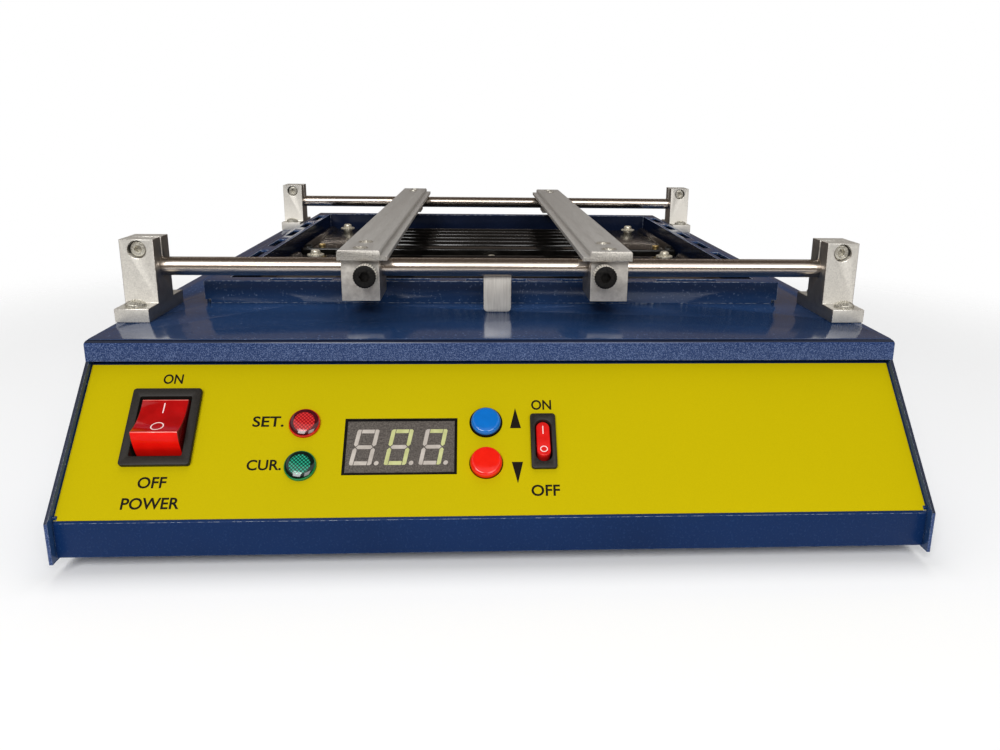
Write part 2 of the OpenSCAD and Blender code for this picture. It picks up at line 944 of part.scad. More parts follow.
// Rear sliding block, lower than the front one because the well frame lies under it
module rear_block(x) {
    color("#b9b7b2")
        difference() {
            translate([x - saddle_w / 2, y_rod2 - block_back, z_rod - saddle_drop])
                cube([saddle_w, block_front + block_back, saddle_drop + rod_to_beam]);
            block_bores(x, y_rod2);
        }
}

// The rod bore and the beam screws' holes in a sliding block
module block_bores(x, y) {
    translate([x - block_w, y, z_rod])
        rotate([0, 90, 0])
            cylinder(d = rod_d + 2 * run_fit, h = 2 * block_w, $fn = 64);
    translate([x, 0, 0])
        at_beam_screws()
            rod_z(beam_screw_d, z_beam - beam_screw_l - 1, z_beam + 1);
}

// Countersunk-flush screws that hold a beam to its two blocks
module beam_screws(x) {
    z_top = z_beam + beam_t;
    color("#d2cfc6")
        translate([x, 0, 0])
            at_beam_screws()
                difference() {
                    union() {
                        rod_z(beam_screw_d, z_beam - beam_screw_l, z_top - 1);
                        rod_z(6, z_top - 1.8, z_top + 0.3);
                    }
                    slab(3.4, 0.9, z_top - 0.7, z_top + 1);
                    slab(0.9, 3.4, z_top - 0.7, z_top + 1);
                }
}

// Knurled thumb screw that clamps the front block to its rod
module thumb_screw(x, hand) {
    y_head = y_rod1 - block_front - thumb_gap;
    color("#1c1c1d")
        translate([x + hand * thumb_in, y_head, z_rod - thumb_low])
            rotate([90, 0, 0])
                difference() {
                    union() {
                        rotate_extrude()
                            polygon([[0, 0], [knob_d / 2 - knob_edge, 0], [knob_d / 2, knob_edge],
                                [knob_d / 2, knob_l - knob_edge], [knob_d / 2 - knob_edge, knob_l],
                                [0, knob_l]]);
                        rod_z(thumb_d, y_head - y_rod1 + rod_d / 2 + 0.3, 1);
                    }
                    for (i = [0 : knurls - 1])
                        rotate([0, 0, i * 360 / knurls])
                            translate([knob_d / 2 + knurl_d / 4, 0, -1])
                                cylinder(d = knurl_d, h = knob_l + 2, $fn = 16);
                    translate([0, 0, knob_l - 3])
                        cylinder(d = 4.6, h = 4, $fn = 6);
                }
}

module left_beam() {
    beam(left_x, 1);
}

module left_front_block() {
    front_block(left_x, 1);
}

module left_rear_block() {
    rear_block(left_x);
}

module left_beam_screws() {
    beam_screws(left_x);
}

module left_thumb_screw() {
    thumb_screw(left_x, 1);
}

module right_beam() {
    beam(right_x, -1);
}

module right_front_block() {
    front_block(right_x, -1);
}

module right_rear_block() {
    rear_block(right_x);
}

module right_beam_screws() {
    beam_screws(right_x);
}

module right_thumb_screw() {
    thumb_screw(right_x, -1);
}

// Rocker switch housing: bezel on the label, body behind the panel, well for the rocker
module switch_housing(w, l, body_w, body_l, well_w, well_l, well_r, deep, bezel_t, pivot_z, pin_d) {
    difference() {
        union() {
            translate([0, 0, label_t])
                round_plate(w, l, bezel_r, bezel_t);
            slab(body_w, body_l, -deep, label_t + 0.1);
        }
        translate([0, 0, -deep * 0.55])
            round_plate(well_w, well_l, well_r, deep);
        translate([-well_w / 2 - 0.9, 0, pivot_z])
            rotate([0, 90, 0])
                cylinder(d = pin_d + 2 * run_fit, h = well_w + 1.8);
    }
}

// Rocker in profile: two ridges, a hollow top and sloping ends with round corners, on two pins
module rocker(w, l, end_r, ridge, top, hollow, pivot_z, pin_d, pin_l, tilt) {
    rise = top - pivot_z;
    hollow_r = (ridge * ridge + hollow * hollow) / (2 * hollow);
    translate([0, 0, pivot_z])
        rotate([tilt, 0, 0]) {
            difference() {
                intersection() {
                    along_x(2 * w)
                        polygon([[-l / 2, 0], [-l * 0.485, -pivot_z], [-ridge, rise],
                            [ridge, rise], [l * 0.485, -pivot_z], [l / 2, 0]]);
                    translate([0, 0, -1])
                        round_plate(w, l - 0.1, end_r, rise + 2);
                }
                translate([-w, 0, rise - hollow + hollow_r])
                    rotate([0, 90, 0])
                        cylinder(r = hollow_r, h = 2 * w, $fn = 160);
            }
            translate([-pin_l / 2, 0, 0])
                rotate([0, 90, 0])
                    cylinder(d = pin_d, h = pin_l);
        }
}

power_pivot = -6;
power_pin = 3;
power_well_w = power_w - 6.4;
power_well_l = power_l - 7.1;
power_l_in = power_well_l - 2.6;

module power_switch() {
    color("#2b2927")
        on_slope(power_x, power_s)
            switch_housing(power_w, power_l, power_w - 3.6, power_l - 3.6, power_well_w,
                power_well_l, 0.6, 26, 1.8, power_pivot, power_pin);
}

// Power rocker, resting with its upper end pressed in
module power_rocker() {
    color("#c01a12")
        on_slope(power_x, power_s)
            rocker(power_well_w - 1.6, power_l_in, 0.4, power_l_in * 0.4, 5, 1.1, power_pivot,
                power_pin, power_well_w + 1.2, -power_tilt);
}

heat_pivot = -4;
heat_pin = 1.6;
heat_well_w = heat_w - 3.4;
heat_well_l = heat_l - 5.6;
heat_l_in = heat_well_l - 1.6;
bezel_r = 1.2;

module heat_switch() {
    color("#2b2927")
        on_slope(heat_x, heat_s)
            switch_housing(heat_w, heat_l, heat_w - 1.6, heat_l - 2.2, heat_well_w, heat_well_l,
                heat_well_w / 2 - 0.2, 18, 1.4, heat_pivot, heat_pin);
}

// Heating rocker, resting with its upper end pressed in
module heat_rocker() {
    color("#d3231a")
        on_slope(heat_x, heat_s)
            rocker(heat_well_w - 1, heat_l_in, heat_well_w / 2 - 0.7, heat_l_in * 0.455, 3, 0.6,
                heat_pivot, heat_pin, heat_well_w + 0.8, -heat_tilt);
}

// Barrels that hold the two lamps between the panel and the control board
module lamp_holders() {
    color("#26211f")
        for (s = [upper_s, lower_s])
            on_slope(lamp_x, s)
                difference() {
                    rod_z(lamp_d - 2, board_front, label_t);
                    rod_z(lamp_d - 2.6, board_front + 3, label_t + 1);
                }
}

// Lamp lens: a barrel, a rounded flange on the label and a low dome in its middle
module lens() {
    flange_l = 2;
    middle = lamp_d - 4.2;
    sunk = 0.6;
    rotate_extrude() {
        translate([0, board_front + 3])
            square([lamp_d / 2 - 1.5, label_t - board_front - 2.9]);
        translate([0, label_t]) {
            difference() {
                cap_outline(lamp_d, flange_l, 1.5);
                translate([0, flange_l - sunk])
                    square([middle / 2, flange_l]);
            }
            dome_outline(middle - 0.4, flange_l + 0.3, 0.8);
        }
    }
}

module set_lens() {
    color("#b3241e")
        on_slope(lamp_x, upper_s)
            lens();
}

module cur_lens() {
    color("#127a4c")
        on_slope(lamp_x, lower_s)
            lens();
}

// Smoked window, flush with the label and seated on the display
module display_window() {
    color("#4c4743")
        on_slope(window_x, window_s)
            slab(window_w, window_l, label_t - 1.6, label_t);
}

// Three-digit display on the control board
module display_module() {
    color("#3a3634")
        on_slope(window_x, window_s)
            slab(window_w - 4, window_l - 3.4, board_front, label_t - 1.6);
}

// Round push button: rounded cap, retaining flange and stem, turned as one piece
module button() {
    rotate_extrude() {
        translate([0, -3])
            cap_outline(button_d, button_rise + 3, 1);
        translate([0, -2.9 - sheet_t])
            square([button_d / 2 + 1, 2.6]);
        translate([0, board_front + 2 + press])
            square([stem_d / 2, -4 - board_front - press]);
    }
}

module up_button() {
    color("#1272c4")
        on_slope(button_x, upper_s)
            button();
}

module down_button() {
    color("#e2281b")
        on_slope(button_x, lower_s)
            button();
}

// Push switches on the control board, each with a hole for a button stem
module button_switches() {
    color("#2f2f31")
        for (s = [upper_s, lower_s])
            on_slope(button_x, s)
                difference() {
                    slab(key_w, key_w, board_front, board_front + key_h);
                    rod_z(stem_d + 2 * move_fit, board_front + 1, board_front + key_h + 1);
                }
}

// Control board parallel to the sloped panel
module control_board() {
    color("#1f5a34")
        on_slope((board_x0 + board_x1) / 2, (board_s0 + board_s1) / 2)
            slab(board_x1 - board_x0, board_s1 - board_s0, board_front - board_t, board_front);
}

// Posts between the panel and the control board
module board_posts() {
    color("#c2b280")
        for (x = [board_x0 + board_edge, board_x1 - board_edge])
            for (s = [board_s0 + board_edge - 1, board_s1 - board_edge])
                on_slope(x, s)
                    rod_z(board_post_d, board_front, -sheet_t);
}

// Mains appliance inlet in the rear panel: flange outside, body inside, socket open rearwards
module mains_inlet() {
    color("#1d1d1e")
        translate([inlet_x, y_back, inlet_z])
            difference() {
                union() {
                    rotate([-90, 0, 0])
                        round_plate(inlet_w, inlet_h, inlet_r, inlet_t);
                    translate([-inlet_body_w / 2, -inlet_deep, -inlet_body_h / 2])
                        cube([inlet_body_w, inlet_deep + 0.1, inlet_body_h]);
                }
                translate([-socket_w / 2, inlet_t - socket_deep, -socket_h / 2])
                    cube([socket_w, socket_deep + 1, socket_h]);
                for (x = [-1, 1])
                    translate([x * inlet_pitch / 2, 0, 0])
                        rotate([-90, 0, 0]) {
                            rod_z(3.4, -1, inlet_t + 1);
                            translate([0, 0, inlet_t - inlet_sink])
                                cylinder(d1 = 3.4, d2 = 6, h = inlet_sink);
                        }
            }
}

// Contact pins of the mains inlet
module inlet_pins() {
    color("#c6b98f")
        translate([inlet_x, y_back + inlet_t - socket_deep, inlet_z])
            for (p = [[-7, -2], [0, 2], [7, -2]])
                translate([p[0] - 1, 0, p[1] - 2])
                    cube([2, socket_deep - 5, 4]);
}

// Screws and nuts of the mains inlet
module inlet_screws() {
    color("#b2b3b5")
        for (x = [-1, 1])
            translate([inlet_x + x * inlet_pitch / 2, y_back, inlet_z])
                rotate([-90, 0, 0]) {
                    rod_z(3, -6, inlet_t - inlet_sink + 0.3);
                    translate([0, 0, inlet_t - inlet_sink + 0.2])
                        cylinder(d1 = 3.2, d2 = 5.4, h = inlet_sink - 0.2);
                    rod_z(5.5, -sheet_t - 2.4, -sheet_t);
                }
}

// Small mains transformer on the base floor: core, winding and mounting strap
module transformer() {
    color("#6d6a64")
        translate([transformer_edge - half_w, y_back - transformer_back, z_floor]) {
            slab(core_w, core_d, 0, core_h);
            slab(coil_w, coil_d, coil_gap, core_h - coil_gap);
            slab(strap_w, strap_d, 0, strap_t);
        }
}

// Finned heat sink on the base floor
module heat_sink() {
    color("#8f9296")
        translate([sink_x, y_back - sink_back, z_floor]) {
            slab(sink_w, sink_d, fin_h, fin_h + sink_t);
            for (i = [0 : fins - 1])
                translate([(i / (fins - 1) - 0.5) * (sink_w - fin_t), 0, 0])
                    slab(fin_t, sink_d, 0, fin_h + sink_t / 2);
        }
}

// Solid state relay on the heat sink
module power_module() {
    z_sink = z_floor + fin_h + sink_t;
    color("#cfccc2")
        translate([sink_x, y_back - sink_back, 0])
            slab(module_w, module_d, z_sink, z_sink + module_h);
}

// Ceramic terminal block on the base floor
module terminal_block() {
    color("#e5e1d6")
        translate([terminal_block_x, y_back - terminal_block_back, z_floor])
            difference() {
                slab(terminal_block_w, terminal_block_d, 0, terminal_block_h);
                for (i = [0 : terminal_ways - 1])
                    translate([(i - (terminal_ways - 1) / 2) * terminal_pitch, 0, 0])
                        rod_z(terminal_hole, terminal_block_h / 2, terminal_block_h + 1);
            }
}

// Rubber feet
module feet() {
    color("#19191a")
        at_feet()
            difference() {
                cylinder(d1 = foot_d - 2, d2 = foot_d, h = z_base);
                rod_z(8, -1, 3);
                rod_z(4.2, 2, z_base + 1);
            }
}

// Screws that hold the feet, each with a nut on the base floor
module foot_screws() {
    color("#b2b3b5")
        at_feet() {
            rod_z(7, 0.8, 3);
            rod_z(4, 2.9, z_floor + 4);
            rod_z(7, z_floor, z_floor + 3);
        }
}

// Flush countersunk screws that hold the cover's sides to the base flanges
module cover_screws() {
    color("#3a3a3c")
        at_cover_screws() {
            rod_z(2.9, -6, -sheet_t + 0.2);
            translate([0, 0, -sheet_t])
                cylinder(d1 = cover_hole - 0.5, d2 = cover_head, h = sheet_t - 0.05);
        }
}

top_cover();
base_chassis();
panel_label();
well_frame();
heater_pan();
insulation_board();
emitter_front();
emitter_rear();
emitter_terminals();
clamp_posts();
clamp_screws();
thermocouple();
front_rod();
rear_rod();
support_front_left();
support_front_right();
support_rear_left();
support_rear_right();
pinch_screws();
support_screws();
rod_prop();
prop_screw();
left_beam();
left_front_block();
left_rear_block();
left_beam_screws();
left_thumb_screw();
right_beam();
right_front_block();
right_rear_block();
right_beam_screws();
right_thumb_screw();
power_switch();
power_rocker();
heat_switch();
heat_rocker();
lamp_holders();
set_lens();
cur_lens();
display_window();
display_module();
up_button();
down_button();
button_switches();
control_board();
board_posts();
mains_inlet();
inlet_pins();
inlet_screws();
transformer();
heat_sink();
power_module();
terminal_block();
feet();
foot_screws();
cover_screws();
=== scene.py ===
import math

import bmesh
import bpy
from mathutils import Matrix, Vector


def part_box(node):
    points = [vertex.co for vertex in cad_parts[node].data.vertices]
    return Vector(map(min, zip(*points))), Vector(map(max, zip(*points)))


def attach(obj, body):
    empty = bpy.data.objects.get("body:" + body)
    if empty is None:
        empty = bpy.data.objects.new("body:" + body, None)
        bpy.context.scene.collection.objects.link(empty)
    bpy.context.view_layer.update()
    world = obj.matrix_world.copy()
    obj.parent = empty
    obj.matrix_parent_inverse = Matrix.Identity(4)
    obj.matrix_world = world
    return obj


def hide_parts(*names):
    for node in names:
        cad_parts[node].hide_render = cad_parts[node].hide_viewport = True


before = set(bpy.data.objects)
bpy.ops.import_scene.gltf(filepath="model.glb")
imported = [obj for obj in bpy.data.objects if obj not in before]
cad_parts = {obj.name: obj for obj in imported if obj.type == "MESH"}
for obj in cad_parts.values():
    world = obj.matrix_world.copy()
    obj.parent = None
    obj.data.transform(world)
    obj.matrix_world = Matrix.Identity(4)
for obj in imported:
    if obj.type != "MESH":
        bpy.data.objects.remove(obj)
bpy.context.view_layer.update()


# Camera
# It stands close in front of the case, a little left of its middle and above the rods, and
# looks down at the deck. The shift keeps the photograph's framing.
camera = bpy.data.cameras.new("camera")
camera.sensor_fit = "HORIZONTAL"
camera.sensor_width = 36
camera.lens = 30.54
camera.shift_x = -0.0258
camera.shift_y = -0.02088
camera.clip_start = 0.01
camera_stand = bpy.data.objects.new("camera", camera)
camera_stand.location = (-0.0088, -0.49491, 0.15672)
camera_stand.rotation_euler = [math.radians(turn) for turn in (74.71, -0.76, -3.16)]
bpy.context.scene.collection.objects.link(camera_stand)
bpy.context.scene.camera = camera_stand


# Studio
# A pale floor that fades into a white room, two soft lamps in front and one above, and dark
# cloth flags all round and overhead that only reflections see. Sizes here are in metres.
def linear(code):
    """An sRGB hex colour as linear red, green, blue and alpha."""
    channels = [int(code[i:i + 2], 16) / 255 for i in (1, 3, 5)]
    return [c / 12.92 if c <= 0.04045 else ((c + 0.055) / 1.055) ** 2.4 for c in channels] + [1.0]


def add(tree, kind, sockets=None, links=None, **settings):
    """Adds a node with its settings, its socket values and the outputs that feed its sockets."""
    node = tree.nodes.new(kind)
    for name, value in settings.items():
        setattr(node, name, value)
    for key, value in (sockets or {}).items():
        node.inputs[key].default_value = value
    for key, output in (links or {}).items():
        tree.links.new(output, node.inputs[key])
    return node


def start_material(name, **sockets):
    """A new material, its node tree and its main shader with the given sockets set."""
    material = bpy.data.materials.new(name)
    material.use_nodes = True
    shader = material.node_tree.nodes["Principled BSDF"]
    for key, value in sockets.items():
        shader.inputs[key.replace("_", " ")].default_value = value
    return material, material.node_tree, shader


def stage_mesh(name, bm, material):
    """Makes a bmesh a stage object, which isn't part of the preheater."""
    mesh = bpy.data.meshes.new(name)
    bm.to_mesh(mesh)
    bm.free()
    mesh.materials.append(material)
    thing = bpy.data.objects.new(name, mesh)
    bpy.context.scene.collection.objects.link(thing)
    return thing


bpy.context.scene.view_settings.view_transform = "Standard"
# The camera and every reflection see a white room, which lights the rest more dimly.
ROOM_LIGHT = 0.3
world = bpy.data.worlds.new("white_room")
world.use_nodes = True
bpy.context.scene.world = world
tree = world.node_tree
tree.nodes.clear()
path = add(tree, "ShaderNodeLightPath").outputs
seen = add(tree, "ShaderNodeMath", operation="ADD",
           links={0: path["Is Camera Ray"], 1: path["Is Glossy Ray"]})
seen = add(tree, "ShaderNodeMath", operation="ADD", use_clamp=True,
           links={0: seen.outputs[0], 1: path["Is Transmission Ray"]})
room = add(tree, "ShaderNodeBackground", {"Color": linear("#ffffff"), "Strength": ROOM_LIGHT})
white = add(tree, "ShaderNodeBackground", {"Color": linear("#ffffff"), "Strength": 1.0})
shown = add(tree, "ShaderNodeMixShader",
            links={0: seen.outputs[0], 1: room.outputs[0], 2: white.outputs[0]})
add(tree, "ShaderNodeOutputWorld", links={"Surface": shown.outputs[0]})

# White paper: quite matt, so that only the shadow shows on it. It thins out to nothing round
# the case, so that its rim can't be seen.
FLOOR_RADIUS = 1.4
FLOOR_SOLID = 0.3
FLOOR_SINK = 0.0002
ROUND_STEPS = 96
floor_paper, tree, shader = start_material("white_paper_floor", Base_Color=linear("#ffffff"),
                                           Roughness=0.9, Specular_IOR_Level=0.0)
place = add(tree, "ShaderNodeTexCoord").outputs["Object"]
reach = add(tree, "ShaderNodeVectorMath", operation="LENGTH", links={0: place})
fade = add(tree, "ShaderNodeMapRange", {"From Min": FLOOR_SOLID, "From Max": FLOOR_SOLID * 2},
           {"Value": reach.outputs["Value"]}, interpolation_type="SMOOTHSTEP")
clear = add(tree, "ShaderNodeBsdfTransparent")
faded = add(tree, "ShaderNodeMixShader",
            links={0: fade.outputs[0], 1: shader.outputs[0], 2: clear.outputs[0]})
tree.links.new(faded.outputs[0], tree.nodes["Material Output"].inputs["Surface"])
bm = bmesh.new()
bmesh.ops.create_circle(bm, cap_ends=True, segments=ROUND_STEPS, radius=FLOOR_RADIUS,
                        matrix=Matrix.Translation((0, 0, -FLOOR_SINK)))
stage_mesh("floor", bm, floor_paper)


def hang_flag(name, bm, cloth_name, tone):
    """Hangs a bmesh as a cloth that shows its own tone, and only in reflections."""
    cloth = start_material(cloth_name, Base_Color=linear("#000000"), Roughness=1.0, Specular_IOR_Level=0.0,
                           Emission_Color=linear(tone), Emission_Strength=1.0)[0]
    flag = stage_mesh(name, bm, cloth)
    flag.visible_camera = False
    flag.visible_diffuse = False
    flag.visible_transmission = False
    flag.visible_shadow = False


# The horizon flag is a ring that stands higher behind the case than in front of it.
FLAG_RADIUS = 2.4
FLAG_LOW = -0.4
FLAG_FRONT = 1.35
FLAG_BACK = 2.1
FLAG_RISE = 0.7
bm = bmesh.new()
bmesh.ops.create_circle(bm, segments=ROUND_STEPS, radius=FLAG_RADIUS,
                        matrix=Matrix.Translation((0, 0, FLAG_LOW)))
wall = bmesh.ops.extrude_edge_only(bm, edges=list(bm.edges))["geom"]
for v in wall:
    if isinstance(v, bmesh.types.BMVert):
        backward = max(0, 0.5 + 0.5 * v.co.y / FLAG_RADIUS)
        v.co.z = FLAG_FRONT + (FLAG_BACK - FLAG_FRONT) * backward ** FLAG_RISE
hang_flag("horizon_flag", bm, "dark_cloth_flag", "#665b53")

CEILING_RADIUS = 1.7
CEILING_BACK = 0.4
CEILING_HEIGHT = 2.1
bm = bmesh.new()
bmesh.ops.create_circle(bm, cap_ends=True, segments=ROUND_STEPS, radius=CEILING_RADIUS,
                        matrix=Matrix.Translation((0, CEILING_BACK, CEILING_HEIGHT)))
hang_flag("ceiling_flag", bm, "grey_cloth_flag", "#5a514a")

LAMP_AIM = Vector((0, 0, 0.06))
for name, spot, size, power in (("key", (-0.6, -1.7, 1.2), 0.75, 20),
                                ("fill", (0.5, -1.7, 1.0), 0.75, 10.5),
                                ("top", (0.0, 0.4, 1.9), 1.4, 12)):
    lamp = bpy.data.lights.new(name, "AREA")
    lamp.size = size
    lamp.energy = power
    stand = bpy.data.objects.new(name, lamp)
    stand.location = spot
    stand.rotation_euler = (LAMP_AIM - Vector(spot)).to_track_quat("-Z", "Y").to_euler()
    stand.visible_glossy = name != "top"
    bpy.context.scene.collection.objects.link(stand)


# Painted case: folded cover, base chassis and slotted well frame
# Steel sheet, folded, then powder coated blue. The coat is glossy with a fine grain, and a paler
# line along the folds and cut edges is painted both as wear and as the highlight the edges catch.
# Sizes from here on are in millimetres.
MM = 0.001
WELD = 0.002
FLAT_ANGLE = 0.3
SMOOTH_ANGLE = 30


def per_metre(size):
    """Texture scale at which a pattern repeats every so many millimetres."""
    return 1 / (size * MM)


def cad_copy(node):
    """A bmesh of a CAD node, with its loose triangles merged into flat faces."""
    bm = bmesh.new()
    bm.from_mesh(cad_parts[node].data)
    bmesh.ops.remove_doubles(bm, verts=bm.verts, dist=WELD * MM)
    bmesh.ops.dissolve_limit(bm, angle_limit=math.radians(FLAT_ANGLE), verts=bm.verts, edges=bm.edges)
    return bm


def break_edges(bm, width, segments=2, angle=35, where=None):
    """Rounds the edges that turn by more than an angle, and gives back the faces made."""
    sharp = [e for e in bm.edges if e.is_manifold and e.calc_face_angle(0) > math.radians(angle)
             and (where is None or where((e.verts[0].co + e.verts[1].co) / 2))]
    return bmesh.ops.bevel(bm, geom=sharp, offset=width * MM, offset_type="OFFSET", affect="EDGES",
                           segments=segments, profile=0.5, material=-1, clamp_overlap=True)["faces"]


def mark_edges(bm, width, segments=2):
    """Rounds the sharp edges and gives them the second material of the piece."""
    for face in break_edges(bm, width, segments):
        face.material_index = 1


def piece(name, bm, materials, body, slot, *nodes):
    """Makes a bmesh a piece that rides on a body, and stands for the CAD nodes that are named."""
    mesh = bpy.data.meshes.new(name)
    bm.to_mesh(mesh)
    bm.free()
    for material in materials:
        mesh.materials.append(material)
    mesh.shade_smooth()
    mesh.set_sharp_from_angle(angle=math.radians(SMOOTH_ANGLE))
    thing = bpy.data.objects.new(name, mesh)
    bpy.context.scene.collection.objects.link(thing)
    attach(thing, body)
    if nodes:
        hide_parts(*nodes)
    return thing


NOISE_LOW = 0.3
NOISE_HIGH = 0.7
COAT_CLOUD = 70
COAT_PEEL = 0.05
FLECK_SOFT = 0.12


def powder_coat(name, grain_size, tones, fleck, sheen, matt):
    """A coat clouded between two tones. Its flecks have a tone, a noise level to start at and a share."""
    coat, tree, shader = start_material(name, Specular_IOR_Level=sheen)
    place = add(tree, "ShaderNodeTexCoord").outputs["Object"]
    grain = add(tree, "ShaderNodeTexNoise", {"Scale": per_metre(grain_size), "Detail": 3.0},
                {"Vector": place})
    cloud = add(tree, "ShaderNodeTexNoise", {"Scale": per_metre(COAT_CLOUD), "Detail": 2.0},
                {"Vector": place})
    patch = add(tree, "ShaderNodeMapRange", {"From Min": NOISE_LOW, "From Max": NOISE_HIGH},
                {"Value": cloud.outputs["Fac"]})
    tone = add(tree, "ShaderNodeMix", {6: linear(tones[0]), 7: linear(tones[1])}, {0: patch.outputs[0]},
               data_type="RGBA")
    fleck_tone, fleck_from, fleck_share = fleck
    flecked = add(tree, "ShaderNodeMapRange",
                  {"From Min": fleck_from, "From Max": fleck_from + FLECK_SOFT, "To Max": fleck_share},
                  {"Value": grain.outputs["Fac"]})
    tone = add(tree, "ShaderNodeMix", {7: linear(fleck_tone)}, {0: flecked.outputs[0], 6: tone.outputs[2]},
               data_type="RGBA")
    tree.links.new(tone.outputs[2], shader.inputs["Base Color"])
    gloss = add(tree, "ShaderNodeMapRange",
                {"From Min": NOISE_LOW, "From Max": NOISE_HIGH, "To Min": matt[0], "To Max": matt[1]},
                {"Value": grain.outputs["Fac"]})
    tree.links.new(gloss.outputs[0], shader.inputs["Roughness"])
    peel = add(tree, "ShaderNodeBump", {"Strength": 0.06, "Distance": COAT_PEEL * MM},
               {"Height": grain.outputs["Fac"]})
    tree.links.new(peel.outputs[0], shader.inputs["Normal"])
    return coat


# Powder coat: a glossy blue that clouds slowly, with paler flecks. It sparkles on the front fold
# and is plainer on the base. A near-black copy of it is painted shade inside the well, in the
# front fold's crease and along the well frame's foot. The grain is drawn coarser than the real
# powder, so that it shows.
deck_coat = powder_coat("blue_powder_coat", 1.0, ("#1b345a", "#233f69"), ("#9fb2d6", 0.63, 0.4),
                        0.5, (0.12, 0.19))
sparkle_coat = powder_coat("blue_sparkle_coat", 0.27, ("#122b59", "#193261"), ("#8a9fcc", 0.5, 0.42),
                           0.3, (0.2, 0.3))
base_coat = powder_coat("blue_base_coat", 0.8, ("#0b2349", "#0f2a55"), ("#2f5186", 0.6, 0.15),
                        0.1, (0.2, 0.3))
painted_shade_coat = powder_coat("blue_painted_shade_coat", 0.8, ("#0c1426", "#121c34"), ("#33456b", 0.62, 0.2),
                         0.35, (0.15, 0.25))

# Worn powder coat: rubbed through in patches to pale primer and steel, and duller. The pale
# patches also stand as a painted highlight along the edges.
WORN_PATCH = 1.6
wear_and_highlight, tree, shader = start_material("powder_coat_wear_and_highlight", Roughness=0.42, Specular_IOR_Level=0.35)
place = add(tree, "ShaderNodeTexCoord").outputs["Object"]
rub = add(tree, "ShaderNodeTexNoise", {"Scale": per_metre(WORN_PATCH), "Detail": 3.0}, {"Vector": place})
bare = add(tree, "ShaderNodeMapRange", {"From Min": 0.44, "From Max": 0.58, "To Min": 0.05, "To Max": 0.95},
           {"Value": rub.outputs["Fac"]})
tone = add(tree, "ShaderNodeMix", {6: linear("#2c4674"), 7: linear("#b9c2ce")}, {0: bare.outputs[0]},
           data_type="RGBA")
tree.links.new(tone.outputs[2], shader.inputs["Base Color"])

# The cover's front fold shows the sparkle, and where it turns forward a band is painted nearly
# black as painted shade.
COVER_ROUND = 0.3
CREASE_FROM = -0.4
CREASE_TO = -0.93
FACING_DOWN = -0.1
bm = cad_copy("top_cover")
for face in bm.faces:
    if face.normal.y < CREASE_FROM and face.normal.z > FACING_DOWN:
        face.material_index = 2 if face.normal.y < CREASE_TO else 3
mark_edges(bm, COVER_ROUND)
piece("top_cover_coated", bm, [deck_coat, wear_and_highlight, sparkle_coat, painted_shade_coat], "case", "blue_paint", "top_cover")

CHASSIS_ROUND = 0.35
bm = cad_copy("base_chassis")
mark_edges(bm, CHASSIS_ROUND)
piece("base_chassis_coated", bm, [base_coat, wear_and_highlight], "case", "blue_paint", "base_chassis")

# The frame's inside below its lip is painted nearly black as painted shade, and the rounded edge
# of its foot is painted dark as the shade where it meets the deck.
FRAME_ROUND = 0.45
FRAME_LIP = 2
FRAME_FOOT = 3
UPRIGHT = 0.3
frame_low, frame_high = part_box("well_frame")
well_middle = (frame_low + frame_high) / 2
bm = cad_copy("well_frame")
for face in bm.faces:
    spot = face.calc_center_median()
    inward = face.normal.dot(well_middle - spot) > 0 and abs(face.normal.z) < UPRIGHT
    face.material_index = 2 if inward and spot.z < frame_high.z - FRAME_LIP * MM else 0
for face in break_edges(bm, FRAME_ROUND):
    low_down = face.calc_center_median().z < frame_low.z + FRAME_FOOT * MM
    face.material_index = 2 if low_down else 1
piece("well_frame_coated", bm, [deck_coat, wear_and_highlight, painted_shade_coat], "case", "blue_paint", "well_frame")


# Printed label
# A thin polyester film, printed yellow with black legends, stuck on the sloped panel. Its
# satin face has a very fine orange peel.
LABEL_THICK = 0.3
DIAGONAL = math.sqrt(0.5)
label_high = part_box("panel_label")[1]
panel_top = Vector((0, label_high.y, label_high.z - LABEL_THICK * DIAGONAL * MM))


def on_panel(x, s, lift=LABEL_THICK):
    """Place on the sloped panel: x from the middle, s down the slope, lift off its sheet, in mm."""
    down = Vector((x, -s * DIAGONAL, -s * DIAGONAL)) * MM
    return (Matrix.Translation(panel_top + down) @ Matrix.Rotation(math.radians(45), 4, "X")
            @ Matrix.Translation((0, 0, lift * MM)))


def finish_node(node, material):
    """Gives a CAD node that stays in view its material."""
    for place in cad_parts[node].material_slots:
        place.material = material


# Polyester film: an even yellow, satin, that clouds a little. Its peel is drawn coarser than
# the real one, so that it shows.
FILM_GRAIN = 0.5
FILM_CLOUD = 90
FILM_PEEL = 0.03
film, tree, shader = start_material("yellow_polyester_film", Roughness=0.55, Specular_IOR_Level=0.04)
place = add(tree, "ShaderNodeTexCoord").outputs["Object"]
grain = add(tree, "ShaderNodeTexNoise", {"Scale": per_metre(FILM_GRAIN), "Detail": 2.0}, {"Vector": place})
cloud = add(tree, "ShaderNodeTexNoise", {"Scale": per_metre(FILM_CLOUD), "Detail": 1.0}, {"Vector": place})
tone = add(tree, "ShaderNodeMix", {6: linear("#b6a600"), 7: linear("#c0ac00")}, {0: cloud.outputs["Fac"]},
           data_type="RGBA")
fleck = add(tree, "ShaderNodeMapRange", {"From Min": 0.35, "From Max": 0.65, "To Max": 0.3},
            {"Value": grain.outputs["Fac"]})
tone = add(tree, "ShaderNodeMix", {7: linear("#b0a000")}, {0: fleck.outputs[0], 6: tone.outputs[2]},
           data_type="RGBA")
tree.links.new(tone.outputs[2], shader.inputs["Base Color"])
peel = add(tree, "ShaderNodeBump", {"Strength": 0.08, "Distance": FILM_PEEL * MM},
           {"Height": grain.outputs["Fac"]})
tree.links.new(peel.outputs[0], shader.inputs["Normal"])
